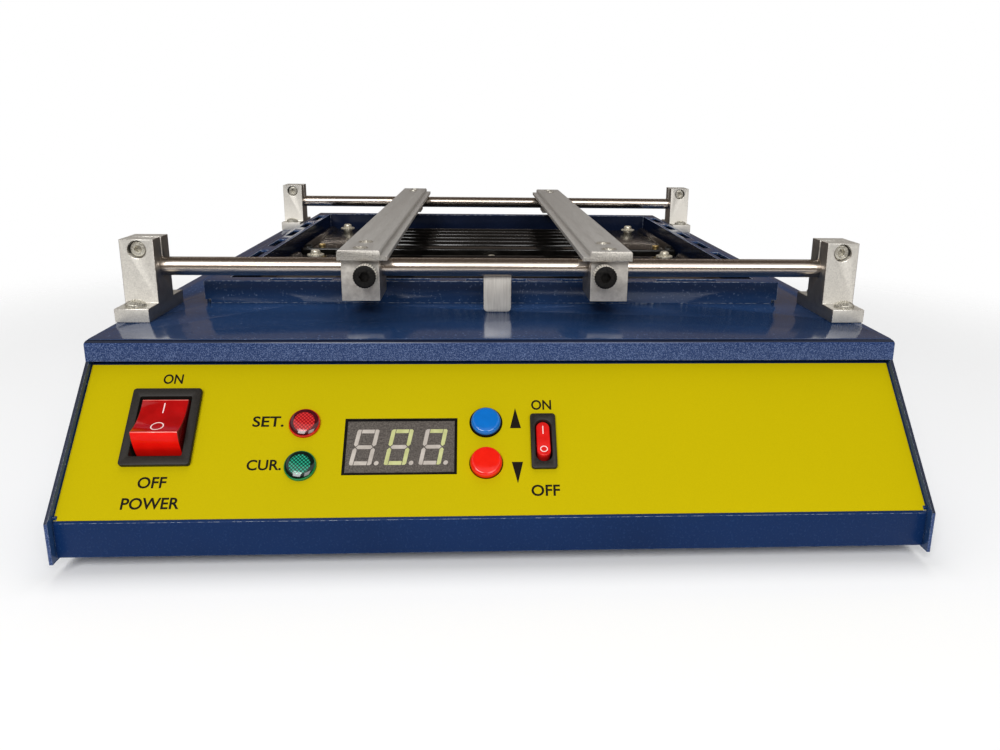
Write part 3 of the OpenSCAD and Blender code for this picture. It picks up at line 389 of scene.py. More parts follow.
finish_node("panel_label", film)


# Legends
# Screen-printed words and arrows beside the switches, lamps and buttons: a thin layer of
# black ink on the label.
INK_WEIGHT = 0.02
INK_LOW = -0.01
INK_HIGH = 0.03
LETTER_WELD = 1e-5


def prism(bm, outline, place, low, high):
    """Adds a flat outline, in millimetres, that stands from low to high on its place."""
    corners = [bm.verts.new(place @ Vector((x * MM, y * MM, low * MM))) for x, y in outline]
    base = bm.faces.new(corners)
    raised = bmesh.ops.extrude_face_region(bm, geom=[base])["geom"]
    rise = place.to_3x3() @ Vector((0, 0, (high - low) * MM))
    bmesh.ops.translate(bm, verts=[v for v in raised if isinstance(v, bmesh.types.BMVert)], vec=rise)


def lettering(words, width, height, place):
    """A bmesh of printed words of the given size in millimetres, in ink on their place."""
    curve = bpy.data.curves.new(words, "FONT")
    curve.body = words
    curve.extrude = 0.5
    curve.resolution_u = 4
    curve.offset = INK_WEIGHT
    holder = bpy.data.objects.new(words, curve)
    bpy.context.scene.collection.objects.link(holder)
    bm = bmesh.new()
    bm.from_mesh(holder.to_mesh())
    bpy.data.objects.remove(holder)
    bmesh.ops.remove_doubles(bm, verts=bm.verts, dist=LETTER_WELD)
    lowest = Vector([min(v.co[i] for v in bm.verts) for i in range(3)])
    highest = Vector([max(v.co[i] for v in bm.verts) for i in range(3)])
    span = highest - lowest
    bmesh.ops.translate(bm, verts=bm.verts, vec=-(lowest + highest) / 2)
    bmesh.ops.scale(bm, verts=bm.verts,
                    vec=(width * MM / span.x, height * MM / span.y, (INK_HIGH - INK_LOW) * MM / span.z))
    bmesh.ops.translate(bm, verts=bm.verts, vec=(0, 0, (INK_HIGH + INK_LOW) / 2 * MM))
    bmesh.ops.transform(bm, verts=bm.verts, matrix=place)
    return bm


# Screen ink: a dull black that is a little thin in places.
INK_MOTTLE = 0.4
ink, tree, shader = start_material("black_screen_ink", Roughness=0.55, Specular_IOR_Level=0.06)
place = add(tree, "ShaderNodeTexCoord").outputs["Object"]
mottle = add(tree, "ShaderNodeTexNoise", {"Scale": per_metre(INK_MOTTLE), "Detail": 2.0}, {"Vector": place})
tone = add(tree, "ShaderNodeMix", {6: linear("#0c0904"), 7: linear("#231e14")}, {0: mottle.outputs["Fac"]},
           data_type="RGBA")
tree.links.new(tone.outputs[2], shader.inputs["Base Color"])

for name, words, left, right, upper, lower in (
        ("legend_power_on", "ON", -129.0, -121.6, 4.2, 8.4),
        ("legend_power_off", "OFF", -130.7, -120.6, 46.2, 50.6),
        ("legend_power", "POWER", -135.0, -114.7, 54.1, 58.5),
        ("legend_set", "SET.", -93.1, -81.5, 22.3, 26.7),
        ("legend_current", "CUR.", -93.1, -80.6, 39.9, 44.1),
        ("legend_heat_on", "ON", 11.75, 19.5, 16.0, 20.25),
        ("legend_heat_off", "OFF", 10.75, 21.25, 50.7, 55.1)):
    middle = on_panel((left + right) / 2, (upper + lower) / 2)
    piece(name, lettering(words, right - left, lower - upper, middle), [ink], "case", "label")

ARROW_HALF = 2.1
ARROW_LONG = 8.5
for name, x, s, way in (("arrow_up", 5.5, 23.65, 1), ("arrow_down", 5.9, 45.9, -1)):
    half = ARROW_HALF * way
    tip = ARROW_LONG / 2 * way
    bm = bmesh.new()
    prism(bm, [(-half, -tip), (half, -tip), (0, tip)], on_panel(x, s), INK_LOW, INK_HIGH)
    bmesh.ops.recalc_face_normals(bm, faces=bm.faces)
    piece(name, bm, [ink], "case", "label")


# Heater well: pan, insulation, emitters and their screws
# Two pressed ceramic plates with raised ends and lengthwise ribs, glazed black, stand on rails
# in a black sheet pan over a fibre board. Screws with broad washers hold them down.
TINY = 1e-7
SEAM = 0.001


def grained(name, dark, light, size, matt, bump=0.0, stretch=(1, 1, 1), **sockets):
    """A finish of two close tones in a grain of so many millimetres, with its gloss and relief."""
    material, tree, shader = start_material(name, **sockets)
    place = add(tree, "ShaderNodeTexCoord").outputs["Object"]
    drawn = add(tree, "ShaderNodeMapping", {"Scale": stretch}, {"Vector": place})
    grain = add(tree, "ShaderNodeTexNoise", {"Scale": per_metre(size), "Detail": 3.0},
                {"Vector": drawn.outputs[0]})
    spread = add(tree, "ShaderNodeMapRange", {"From Min": NOISE_LOW, "From Max": NOISE_HIGH},
                 {"Value": grain.outputs["Fac"]})
    tone = add(tree, "ShaderNodeMix", {6: linear(dark), 7: linear(light)}, {0: spread.outputs[0]},
               data_type="RGBA")
    tree.links.new(tone.outputs[2], shader.inputs["Base Color"])
    gloss = add(tree, "ShaderNodeMapRange", {"To Min": matt[0], "To Max": matt[1]},
                {"Value": spread.outputs[0]})
    tree.links.new(gloss.outputs[0], shader.inputs["Roughness"])
    if bump:
        raised = add(tree, "ShaderNodeBump", {"Strength": 0.4, "Distance": bump * MM},
                     {"Height": grain.outputs["Fac"]})
        tree.links.new(raised.outputs[0], shader.inputs["Normal"])
    return material


def bar(bm, radius, long, place):
    """Adds a bar with round ends along its place's x axis, with its radius and length in mm."""
    ball = bmesh.ops.create_uvsphere(bm, u_segments=20, v_segments=12, radius=radius * MM,
                                     matrix=Matrix.Rotation(math.radians(90), 4, "Y"))["verts"]
    for v in ball:
        if abs(v.co.x) > TINY:
            v.co.x += math.copysign((long / 2 - radius) * MM, v.co.x)
    bmesh.ops.transform(bm, verts=ball, matrix=place)


def block(bm, size, middle):
    """Adds a box of so many metres about a middle."""
    made = bmesh.ops.create_cube(bm, size=1)["verts"]
    bmesh.ops.scale(bm, verts=made, vec=size)
    bmesh.ops.translate(bm, verts=made, vec=middle)


def turned(bm, outline, place, steps=64):
    """Turns an outline of radii and heights in millimetres about the place's own axis."""
    points = [bm.verts.new(place @ Vector((r * MM, 0, h * MM))) for r, h in outline]
    lines = [bm.edges.new(pair) for pair in zip(points, points[1:])]
    axis = place.to_3x3() @ Vector((0, 0, 1))
    bmesh.ops.spin(bm, geom=points + lines, cent=place.translation, axis=axis, angle=math.tau,
                   steps=steps, use_merge=True)
    bmesh.ops.remove_doubles(bm, verts=bm.verts, dist=SEAM * MM)
    bmesh.ops.recalc_face_normals(bm, faces=bm.faces)


# Black glaze: deep and glossy, a little uneven.
glaze = grained("black_glazed_ceramic", "#0a0908", "#151311", 5, (0.12, 0.2), Specular_IOR_Level=0.4)
EMITTER_END = 8
END_RADIUS = 3.8
END_SHORT = 2
EMITTER_DISH = 2.4
EMITTER_THICK = 8
EMITTER_ROUND = 1.2
RIB_RADIUS = 3
RIB_COUNT = 5
RIB_END = 38.5
RAIL_WIDE = 10
RAIL_SHARE = 0.9
across = Matrix.Rotation(math.radians(90), 4, "Z")
for node in ("emitter_front", "emitter_rear"):
    low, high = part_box(node)
    middle = (low + high) / 2
    size = high - low
    plate_z = high.z - (EMITTER_DISH + EMITTER_THICK / 2) * MM
    bm = bmesh.new()
    block(bm, (size.x, size.y, EMITTER_THICK * MM), (middle.x, middle.y, plate_z))
    break_edges(bm, EMITTER_ROUND, segments=4)
    for way in (-1, 1):
        block(bm, (size.x * RAIL_SHARE, RAIL_WIDE * MM, size.z / 2),
              (middle.x, middle.y + way * size.y / 4, low.z + size.z / 4))
        end_x = middle.x + way * (size.x - EMITTER_END * MM) / 2
        end_place = Matrix.Translation((end_x, middle.y, high.z - END_RADIUS * MM)) @ across
        bar(bm, END_RADIUS, size.y / MM - END_SHORT, end_place)
    pitch = (size.y - 2 * EMITTER_END * MM) / RIB_COUNT
    for i in range(RIB_COUNT):
        row = middle.y + (i - (RIB_COUNT - 1) / 2) * pitch
        rib_place = Matrix.Translation((middle.x, row, high.z - RIB_RADIUS * MM))
        bar(bm, RIB_RADIUS, size.x / MM - 2 * RIB_END, rib_place)
    piece(node + "_glazed", bm, [glaze], "case", "ceramic", node)

# Zinc plate: bright, with a faint yellow passivation that mottles its gloss.
zinc = grained("zinc_plated_steel", "#a8a396", "#d9d5c8", 0.8, (0.2, 0.36), Metallic=0.6)
yellow_zinc = grained("yellow_zinc_plate", "#b9b09a", "#ece6d6", 1.0, (0.2, 0.36), Metallic=0.55)
WASHER_RADIUS = 5.0
WASHER_THICK = 1.0
WASHER_EDGE = 0.2
HEAD_RADIUS = 2.9
HEAD_HIGH = 2.6
SPACER_RADIUS = 3.2
PAN_SPACER = 7.4
EMITTER_SPACER = 1.2
FROM_MIDDLE = 40
SCREW_STEPS = 40
# A head's outline from its crown to its foot, as shares of its radius and height.
HEAD_OUTLINE = ((0, 1), (0.6, 1), (0.9, 0.8), (1, 0.45), (1, 0))
low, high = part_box("clamp_screws")
front_low, front_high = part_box("emitter_front")
rear_low, rear_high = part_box("emitter_rear")
screw_x = high.x - WASHER_RADIUS * MM
front_y = (front_low.y + front_high.y) / 2
rear_y = (rear_low.y + rear_high.y) / 2
pan_z = front_low.z
face_z = front_high.z - EMITTER_DISH * MM
places = [(0, (front_y + rear_y) / 2, pan_z, PAN_SPACER)]
for x in (-screw_x, screw_x):
    places += [(x, low.y + WASHER_RADIUS * MM, pan_z, PAN_SPACER),
               (x, front_y + FROM_MIDDLE * MM, face_z, EMITTER_SPACER),
               (x, rear_y + FROM_MIDDLE * MM, face_z, EMITTER_SPACER)]
bm = bmesh.new()
for x, y, z, spacer in places:
    top = spacer + WASHER_THICK
    outline = [(HEAD_RADIUS * r, top + HEAD_HIGH * h) for r, h in HEAD_OUTLINE]
    outline += [(WASHER_RADIUS - WASHER_EDGE, top), (WASHER_RADIUS, top - WASHER_EDGE)]
    outline += [(WASHER_RADIUS, spacer), (SPACER_RADIUS, spacer), (SPACER_RADIUS, 0), (0, 0)]
    turned(bm, outline, Matrix.Translation((x, y, z)), steps=SCREW_STEPS)
piece("clamp_screws_plated", bm, [yellow_zinc], "case", "zinc_steel", "clamp_screws")
finish_node("clamp_posts", zinc)
# Stoving lacquer on the pan: near black, dull, with the grain of the sheet under it.
finish_node("heater_pan", grained("black_lacquered_steel", "#121212", "#201f1e", 4, (0.45, 0.6), 0.02))
# Fibre board: chalky, pale and coarse.
fibre = grained("calcium_silicate_board", "#b6afa1", "#cfc9bc", 1.5, (0.85, 0.95), 0.1)
finish_node("insulation_board", fibre)

# Brass terminals, dulled by heat. They are drawn slimmer and lower than their solids.
brass = grained("brass", "#a98a4d", "#d9c08a", 1.0, (0.28, 0.45), Metallic=1.0)
TERMINAL_RADIUS = 2.8
TERMINAL_SLIM = 0.75
TERMINAL_ROUND = 0.15
low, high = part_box("emitter_terminals")
bm = cad_copy("emitter_terminals")
for v in bm.verts:
    rear = v.co.y > (low.y + high.y) / 2
    axis_x = math.copysign(high.x - TERMINAL_RADIUS * MM, v.co.x)
    axis_y = high.y - TERMINAL_RADIUS * MM if rear else low.y + TERMINAL_RADIUS * MM
    axis = Vector((axis_x, axis_y, v.co.z))
    v.co = axis + (v.co - axis) * TERMINAL_SLIM
    if v.co.z > face_z:
        v.co.z = face_z + (v.co.z - face_z) * TERMINAL_SLIM
break_edges(bm, TERMINAL_ROUND)
piece("emitter_terminals_brass", bm, [brass], "case", "brass", "emitter_terminals")
# Stainless steel tube of the probe: bright and lightly scratched.
sheath = grained("stainless_sheath", "#8f8b86", "#b8b4ae", 0.6, (0.25, 0.4), Metallic=1.0)
finish_node("thermocouple", sheath)


# Rod supports with their screws
# Blocks sawn from aluminium bar and bead blasted, split above the bore, each pinched on its rod
# by a socket screw and held to the deck by two pan-head screws.
FACING = 0.9
SUPPORT_ROUND = 0.3
# Blasted aluminium is pale and matt, with pits drawn coarser than the beads leave, so that they
# show. Its edges are rubbed bright. The sides are drawn as machined and shinier, and their darker
# tone is painted shade.
blasted = grained("bead_blasted_aluminium", "#c1bdb5", "#dcd8cf", 0.5, (0.45, 0.55), 0.04, Metallic=0.5)
bright_edge = grained("burnished_aluminium_edge", "#c9c5bd", "#e6e2da", 0.6, (0.22, 0.35), Metallic=1.0)
machined_shade = grained("machined_aluminium_painted_shade", "#8d8a86", "#9c9994", 3, (0.36, 0.44), Metallic=0.85)
for node in ("support_front_left", "support_front_right", "support_rear_left", "support_rear_right"):
    bm = cad_copy(node)
    # The sides take the machined finish with its painted shade.
    for face in bm.faces:
        face.material_index = 2 if abs(face.normal.x) > FACING else 0
    mark_edges(bm, SUPPORT_ROUND)
    piece(node + "_blasted", bm, [blasted, bright_edge, machined_shade], "case", "aluminium", node)
for node, round_off in (("pinch_screws", 0.25), ("support_screws", 0.3)):
    bm = cad_copy(node)
    break_edges(bm, round_off)
    piece(node + "_plated", bm, [zinc], "case", "zinc_steel", node)


# Guide rods
# Ground and polished steel bars with chamfered ends, pinched in the supports. They mirror the
# room softly, and the grinding's fine rings are drawn wider than they are.
ROD_CHAMFER = 0.6
ground = grained("ground_steel", "#c8bcaf", "#cfc3b6", 0.3, (0.225, 0.24), stretch=(1, 0.02, 0.02),
                 Metallic=1.0)
for node in ("front_rod", "rear_rod"):
    low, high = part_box(node)
    long = (high.x - low.x) / MM
    radius = (high.z - low.z) / MM / 2
    end_middle = Vector((low.x, (low.y + high.y) / 2, (low.z + high.z) / 2))
    lie = Matrix.Translation(end_middle) @ Matrix.Rotation(math.radians(90), 4, "Y")
    bm = bmesh.new()
    turned(bm, [(0, 0), (radius - ROD_CHAMFER, 0), (radius, ROD_CHAMFER), (radius, long - ROD_CHAMFER),
                (radius - ROD_CHAMFER, long), (0, long)], lie)
    piece(node + "_ground", bm, [ground], "case", "rod_steel", node)


# Rod prop
# A strip of aluminium that stands on the deck, screwed from below, and keeps the front rod from
# sagging. Its top is hollowed to the rod and its faces are brushed upright to a satin.
PROP_ROUND = 0.3
PROP_SCREW_ROUND = 0.2
satin = grained("satin_aluminium", "#bebab3", "#d3cfc8", 0.5, (0.4, 0.5), 0.02, stretch=(1, 1, 0.05),
                Metallic=0.65)
bm = cad_copy("rod_prop")
mark_edges(bm, PROP_ROUND)
piece("rod_prop_satin", bm, [satin, bright_edge], "case", "aluminium", "rod_prop")
bm = cad_copy("prop_screw")
break_edges(bm, PROP_SCREW_ROUND)
piece("prop_screw_plated", bm, [zinc], "case", "zinc_steel", "prop_screw")


# Board beams with their blocks and screws
# Extruded aluminium bars with a ledge for the circuit board, sawn off at the ends, screwed to
# milled blocks that slide on the rods. A black knurled screw clamps each front block.
BEAM_ROUND = 0.25
BLOCK_ROUND = 0.5
BEAM_SCREW_ROUND = 0.2
KNURL_ROUND = 0.12
KNURL_CREST = 0.96
KNURL_SIDE = 0.5
MOUTH_ROUND = 0.5
MOUTH_REACH = 4
# Extruded aluminium has faint lines along it, drawn wider than a die leaves, so that they show.
# Its sawn ends are rough and uneven, and the milled blocks cloudy.
extruded = grained("extruded_aluminium", "#bab7b2", "#c9c6c1", 0.5, (0.42, 0.5), 0.01,
                   stretch=(1, 0.06, 1), Metallic=0.5)
sawn = grained("sawn_aluminium", "#8c8882", "#c2beb6", 0.6, (0.3, 0.5), 0.2, Metallic=0.75)
milled = grained("milled_aluminium", "#bab5ad", "#d3cec6", 1.6, (0.4, 0.55), 0.04, Metallic=0.65)
# Black oxide is dull and uneven. The crests of the knurl are painted near white as a painted
# highlight.
oxide = grained("black_oxide_steel", "#060505", "#1d1b19", 0.9, (0.35, 0.5), 0.06, Specular_IOR_Level=0.15)
knurl_highlight = grained("knurl_crest_painted_highlight", "#cdc5b6", "#fbf5ea", 0.8, (0.25, 0.4))
for side in ("left", "right"):
    beam = side + "_beam"
    bm = cad_copy(beam)
    for face in bm.faces:
        face.material_index = 1 if abs(face.normal.y) > FACING else 0
    screw_x = (sum(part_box(beam + "_screws"), Vector()) / 2).x
    for width, mouth in ((MOUTH_ROUND, True), (BEAM_ROUND, False)):
        for face in break_edges(bm, width, where=lambda p: (abs(p.x - screw_x) < MOUTH_REACH * MM) == mouth):
            face.material_index = 2
    piece(beam + "_extruded", bm, [extruded, sawn, bright_edge], beam, "aluminium", beam)
    for node in (side + "_front_block", side + "_rear_block"):
        bm = cad_copy(node)
        # The sides take the machined finish, whose darker tone is painted shade.
        for face in bm.faces:
            face.material_index = 2 if abs(face.normal.x) > FACING else 0
        mark_edges(bm, BLOCK_ROUND, segments=3)
        piece(node + "_milled", bm, [milled, bright_edge, machined_shade], beam, "aluminium", node)
    bm = cad_copy(beam + "_screws")
    break_edges(bm, BEAM_SCREW_ROUND)
    piece(beam + "_screws_plated", bm, [zinc], beam, "zinc_steel", beam + "_screws")
    thumb = side + "_thumb_screw"
    low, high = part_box(thumb)
    middle = (low + high) / 2
    bm = cad_copy(thumb)
    break_edges(bm, KNURL_ROUND, segments=1)
    # The knurl's crests take the painted highlight.
    for face in bm.faces:
        spot = face.calc_center_median() - middle
        on_crest = math.hypot(spot.x, spot.z) > KNURL_CREST * (high.x - low.x) / 2
        face.material_index = 1 if on_crest and abs(face.normal.y) < KNURL_SIDE else 0
    piece(thumb + "_oxide", bm, [oxide, knurl_highlight], side + "_thumb", "black_steel", thumb)


# Power switch
# A moulded nylon bezel with a sunk well, and a rocker of clear red polycarbonate with a hollow
# top, printed with I and O. It rests with its upper end pressed in.
BEZEL_ROUND = 0.3
MARK_HIGH = 0.04
# Nylon: dull black with a moulded grain, drawn coarser than it is. A darker copy is painted on the
# bezels' rounded edges as painted shade, and also makes the buttons' black collars.
nylon = grained("moulded_nylon", "#191612", "#282420", 0.5, (0.4, 0.55), 0.03, Specular_IOR_Level=0.25)
dark_nylon_and_edge_shade = grained("dark_nylon_and_edge_shade", "#080706", "#110f0d", 0.5, (0.4, 0.55), Specular_IOR_Level=0.1)
# Red polycarbonate: glossy and clear. The top has the plain red. The raised end is painted a
# brighter red as painted light, the rounded edges are painted pink as a painted highlight, and the
# sides are painted dark red as painted shade.
ruby = grained("red_polycarbonate", "#9c0809", "#b00d0d", 5, (0.08, 0.12), Specular_IOR_Level=0.3)
ruby_painted_light = grained("red_polycarbonate_end_painted_light", "#e40f07", "#f0160c", 5, (0.1, 0.15), Specular_IOR_Level=0.12)
ruby_painted_highlight = grained("red_polycarbonate_edge_painted_highlight", "#e8584e", "#f58d84", 5, (0.08, 0.12))
ruby_painted_shade = grained("red_polycarbonate_side_painted_shade", "#4d0505", "#640808", 5, (0.1, 0.15), Specular_IOR_Level=0.4)
# Pad print: white that takes a little of the red round it.
sign_white = grained("white_pad_print", "#efc9c6", "#ffe9e6", 0.5, (0.4, 0.5))


def rocker_place(x, s, pivot, tilt):
    """Place of a rocker's pivot, turned with the rocker."""
    return on_panel(x, s, pivot) @ Matrix.Rotation(math.radians(tilt), 4, "X")


def hollow(y, floor, lean, hollow_r):
    """Height of a rocker's hollow top at a place along it, all in metres but the lean."""
    return floor + lean * y + y * y / (2 * hollow_r)


def curved(start, bend, end, steps):
    """Points from a start towards an end, along a curve that a bend pulls out."""
    shares = [i / steps for i in range(steps)]
    return [start * (1 - t) ** 2 + bend * 2 * t * (1 - t) + end * t * t for t in shares]


def rocker_signs(name, body, place, shape, stick, stick_up, ring, ring_down, stroke):
    """The printed I and O of a rocker: a stick near its upper end and a ring near its lower end."""
    sign_on = bmesh.new()
    bmesh.ops.create_grid(sign_on, x_segments=1, y_segments=8, size=0.5)
    bmesh.ops.scale(sign_on, verts=sign_on.verts, vec=(stroke * MM, stick * MM, 1))
    bmesh.ops.translate(sign_on, verts=sign_on.verts, vec=(0, stick_up * MM, 0))
    sign_off = bmesh.new()
    turned(sign_off, [(ring / 2 - stroke, 0), (ring / 2, 0)], Matrix.Identity(4), steps=40)
    bmesh.ops.translate(sign_off, verts=sign_off.verts, vec=(0, -ring_down * MM, 0))
    for bm, sign in ((sign_on, "_sign_on"), (sign_off, "_sign_off")):
        for v in bm.verts:
            v.co.z = hollow(v.co.y, *shape) + MARK_HIGH * MM
        bmesh.ops.transform(bm, verts=bm.verts, matrix=place)
        bmesh.ops.recalc_face_normals(bm, faces=bm.faces)
        piece(name + sign, bm, [sign_white], body, "red_plastic")


def add_pins(bm, radius, end):
    """Adds a rocker's two pivot pins as one bar across it, with its radius and half length in mm."""
    turned(bm, [(0, -end), (radius, -end), (radius, end), (0, end)],
           Matrix.Rotation(math.radians(90), 4, "Y"), steps=24)


bm = cad_copy("power_switch")
# The rounded edges take the darker nylon as painted shade.
mark_edges(bm, BEZEL_ROUND)
piece("power_switch_moulded", bm, [nylon, dark_nylon_and_edge_shade], "case", "black_plastic", "power_switch")

POWER_X = -125.9
POWER_S = 26.7
POWER_PIVOT = -6
POWER_TILT = -14
POWER_WIDE = 17.3
POWER_END = 10.6
POWER_RIDGE = 8.3
POWER_BEND = 8
POWER_ROUND = 0.3
POWER_SIDE = 0.5
POWER_PIN = 1.5
POWER_PIN_END = 10
POWER_HOLLOW = (9.6 * MM, -0.09, 20.3 * MM)
POWER_STEPS = 8
PAINTED_LIGHT_END = -0.6
tilted = rocker_place(POWER_X, POWER_S, POWER_PIVOT, POWER_TILT)
rows = [POWER_RIDGE * (i / POWER_STEPS - 1) for i in range(2 * POWER_STEPS + 1)]
top = [Vector((y, hollow(y * MM, *POWER_HOLLOW) / MM)) for y in rows]
lower_end = curved(Vector((-POWER_END, 0)), Vector((-POWER_END, POWER_BEND)), top[0], POWER_STEPS)
upper_end = curved(Vector((POWER_END, 0)), Vector((POWER_END, POWER_BEND)), top[-1], POWER_STEPS)
# The outline stands on edge: its x runs up the panel and its y off the panel.
on_edge = Matrix(((0, 0, 1, 0), (1, 0, 0, 0), (0, 1, 0, 0), (0, 0, 0, 1)))
bm = bmesh.new()
prism(bm, lower_end + top + upper_end[::-1], on_edge, -POWER_WIDE / 2, POWER_WIDE / 2)
bmesh.ops.recalc_face_normals(bm, faces=bm.faces)
# The lower end takes the painted light and the sides take the painted shade. The rounded edges take the
# painted highlight, except near the sides, where they take the painted shade.
for face in bm.faces:
    at_end = face.normal.y < PAINTED_LIGHT_END
    face.material_index = 2 if abs(face.normal.x) > FACING else 1 if at_end else 0
for face in break_edges(bm, POWER_ROUND, segments=3, angle=45):
    at_side = abs(face.calc_center_median().x) > (POWER_WIDE / 2 - POWER_SIDE) * MM
    face.material_index = 2 if at_side else 3
add_pins(bm, POWER_PIN, POWER_PIN_END)
bmesh.ops.transform(bm, verts=bm.verts, matrix=tilted)
piece("power_rocker_moulded", bm, [ruby, ruby_painted_light, ruby_painted_shade, ruby_painted_highlight], "power_rocker", "red_plastic",
      "power_rocker")
rocker_signs("power", "power_rocker", tilted, POWER_HOLLOW, stick=4.3, stick_up=4.8, ring=4.7,
             ring_down=4.4, stroke=0.4)


# Heating switch
# A narrow nylon bezel with round corners, snapped into the panel, and a pill-shaped rocker of
# red polycarbonate with a hollow top, printed with I and O.
HEAT_X = 15.9
HEAT_S = 33.5
HEAT_PIVOT = -4
HEAT_TILT = -9
HEAT_TOP = 5.5
HEAT_SHOULDER = 4.4
HEAT_ROUND = 0.5
HEAT_WIDE = 5.2
HEAT_LONG = 15.0
HEAT_CUTS = 6
HEAT_PIN = 0.8
HEAT_PIN_END = 3.5
HEAT_HOLLOW = (4.9 * MM, 0, 40.2 * MM)
bm = cad_copy("heat_switch")
# The rounded edges take the darker nylon as painted shade.
mark_edges(bm, BEZEL_ROUND)
piece("heat_switch_moulded", bm, [nylon, dark_nylon_and_edge_shade], "case", "black_plastic", "heat_switch")

# The pill is glossy and an even, lighter red, because it is thin.
pill_red = grained("red_polycarbonate_pill", "#cf1512", "#e2201b", 4, (0.12, 0.2), Specular_IOR_Level=0.4)
tilted = rocker_place(HEAT_X, HEAT_S, HEAT_PIVOT, HEAT_TILT)
bm = bmesh.new()
bmesh.ops.create_circle(bm, cap_ends=True, segments=48, radius=HEAT_WIDE / 2 * MM)
for v in bm.verts:
    if abs(v.co.y) > TINY:
        v.co.y += math.copysign((HEAT_LONG - HEAT_WIDE) / 2 * MM, v.co.y)
raised = bmesh.ops.extrude_face_region(bm, geom=list(bm.faces))["geom"]
bmesh.ops.translate(bm, verts=[v for v in raised if isinstance(v, bmesh.types.BMVert)],
                    vec=(0, 0, HEAT_TOP * MM))
bmesh.ops.recalc_face_normals(bm, faces=bm.faces)
break_edges(bm, HEAT_ROUND, segments=4, where=lambda p: p.z > HEAT_TOP / 2 * MM)
# Cuts a millimetre apart let the top bend down into its hollow.
for i in range(-HEAT_CUTS, HEAT_CUTS + 1):
    bmesh.ops.bisect_plane(bm, geom=list(bm.verts) + list(bm.edges) + list(bm.faces), dist=TINY,
                           plane_co=(0, i * MM, 0), plane_no=(0, 1, 0))
for v in bm.verts:
    if v.co.z > HEAT_SHOULDER * MM:
        v.co.z += hollow(v.co.y, *HEAT_HOLLOW) - HEAT_TOP * MM
add_pins(bm, HEAT_PIN, HEAT_PIN_END)
bmesh.ops.transform(bm, verts=bm.verts, matrix=tilted)
piece("heat_rocker_moulded", bm, [pill_red], "heat_rocker", "red_plastic", "heat_rocker")
rocker_signs("heat", "heat_rocker", tilted, HEAT_HOLLOW, stick=3.4, stick_up=4.0, ring=2.9,
             ring_down=4.5, stroke=0.36)


# Indicator lamps
# Moulded polystyrene lenses in black holders. Each is rounded like a cabochon, with a bright rim,
# a dark ring over the barrel and a middle pressed with fine diamonds that spread the light.
LENS_RADIUS = 5.85
LENS_WALL = 0.7
LENS_CROWN = 1.6
CROWN_STEPS = 32
RING_RADIUS = 5.35
DOME_RADIUS = 3.85
LAMP_X = -73.7
# The diamonds are drawn a little coarser than pressed ones, so that they show.
DIAMOND = 1.0
# Polystyrene: very glossy and clear, so that each zone shows what lies under it.
for node, slot, s, rim_tones, ring_tones, dome_tones in (
        ("set_lens", "red_lens", 25.5, ("#b5160a", "#cf2412"), ("#37060e", "#500b14"),
         ("#8a0d14", "#dc3434")),
        ("cur_lens", "green_lens", 42.6, ("#0a6a35", "#0f7d40"), ("#04120c", "#081f16"),
         ("#022c20", "#2aa583"))):
    rim = grained(node + "_rim_polystyrene", *rim_tones, 2, (0.06, 0.1))
    ring = grained(node + "_barrel_polystyrene", *ring_tones, 2, (0.05, 0.08))
    dome, tree, shader = start_material(node + "_dome_polystyrene", Roughness=0.12)
    place = add(tree, "ShaderNodeTexCoord").outputs["Object"]
    laid = add(tree, "ShaderNodeMapping", {"Rotation": (math.radians(-45), 0, math.radians(45))},
               {"Vector": place})
    cell = add(tree, "ShaderNodeTexVoronoi", {"Scale": per_metre(DIAMOND), "Randomness": 0.0},
               {"Vector": laid.outputs[0]}, voronoi_dimensions="2D")
    spread = add(tree, "ShaderNodeMapRange", {"From Min": 0.2, "From Max": 0.5},
                 {"Value": cell.outputs["Distance"]})
    tone = add(tree, "ShaderNodeMix", {6: linear(dome_tones[1]), 7: linear(dome_tones[0])},
               {0: spread.outputs[0]}, data_type="RGBA")
    tree.links.new(tone.outputs[2], shader.inputs["Base Color"])
    bm = bmesh.new()
    crown = [(LENS_RADIUS * math.sin(a), LENS_WALL + LENS_CROWN * math.cos(a))
             for a in [math.radians(i * 90 / CROWN_STEPS) for i in range(CROWN_STEPS + 1)]]
    turned(bm, crown + [(LENS_RADIUS, 0), (0, 0)], Matrix.Identity(4))
    for face in bm.faces:
        far = face.calc_center_median().xy.length / MM
        face.material_index = 2 if far < DOME_RADIUS else 1 if far < RING_RADIUS else 0
    bmesh.ops.transform(bm, verts=bm.verts, matrix=on_panel(LAMP_X, s))
    piece(node + "_moulded", bm, [rim, ring, dome], "case", slot, node)
finish_node("lamp_holders", nylon)


# Display
# A three-digit LED module behind a smoked window: a thin black frame, a grainy grey-brown face,
# and slanted segments with round points that show pale when they are off.
def arc(x, z, r, start, end, count):
    """Points in millimetres on a round stretch of an outline, from one angle to another."""
    turns = [math.radians(start + (end - start) * i / count) for i in range(count + 1)]
    return [(x + r * math.cos(a), z + r * math.sin(a)) for a in turns]


WINDOW_X = -37.6
WINDOW_S = 34.9
WINDOW_SIZE = (41.8, 22.4, 1.6)
WINDOW_FRAME = 0.7
WINDOW_SLOPE = 0.15
WINDOW_SINK = 0.35
bm = bmesh.new()
block(bm, [size * MM for size in WINDOW_SIZE], (0, 0, -WINDOW_SIZE[2] / 2 * MM))
face_up = [f for f in bm.faces if f.normal.z > FACING]
bmesh.ops.inset_region(bm, faces=face_up, thickness=WINDOW_FRAME * MM, use_even_offset=True)
bmesh.ops.inset_region(bm, faces=face_up, thickness=WINDOW_SLOPE * MM, depth=-WINDOW_SINK * MM,
                       use_even_offset=True)
for face in face_up:
    face.material_index = 1
bmesh.ops.transform(bm, verts=bm.verts, matrix=on_panel(WINDOW_X, WINDOW_S))
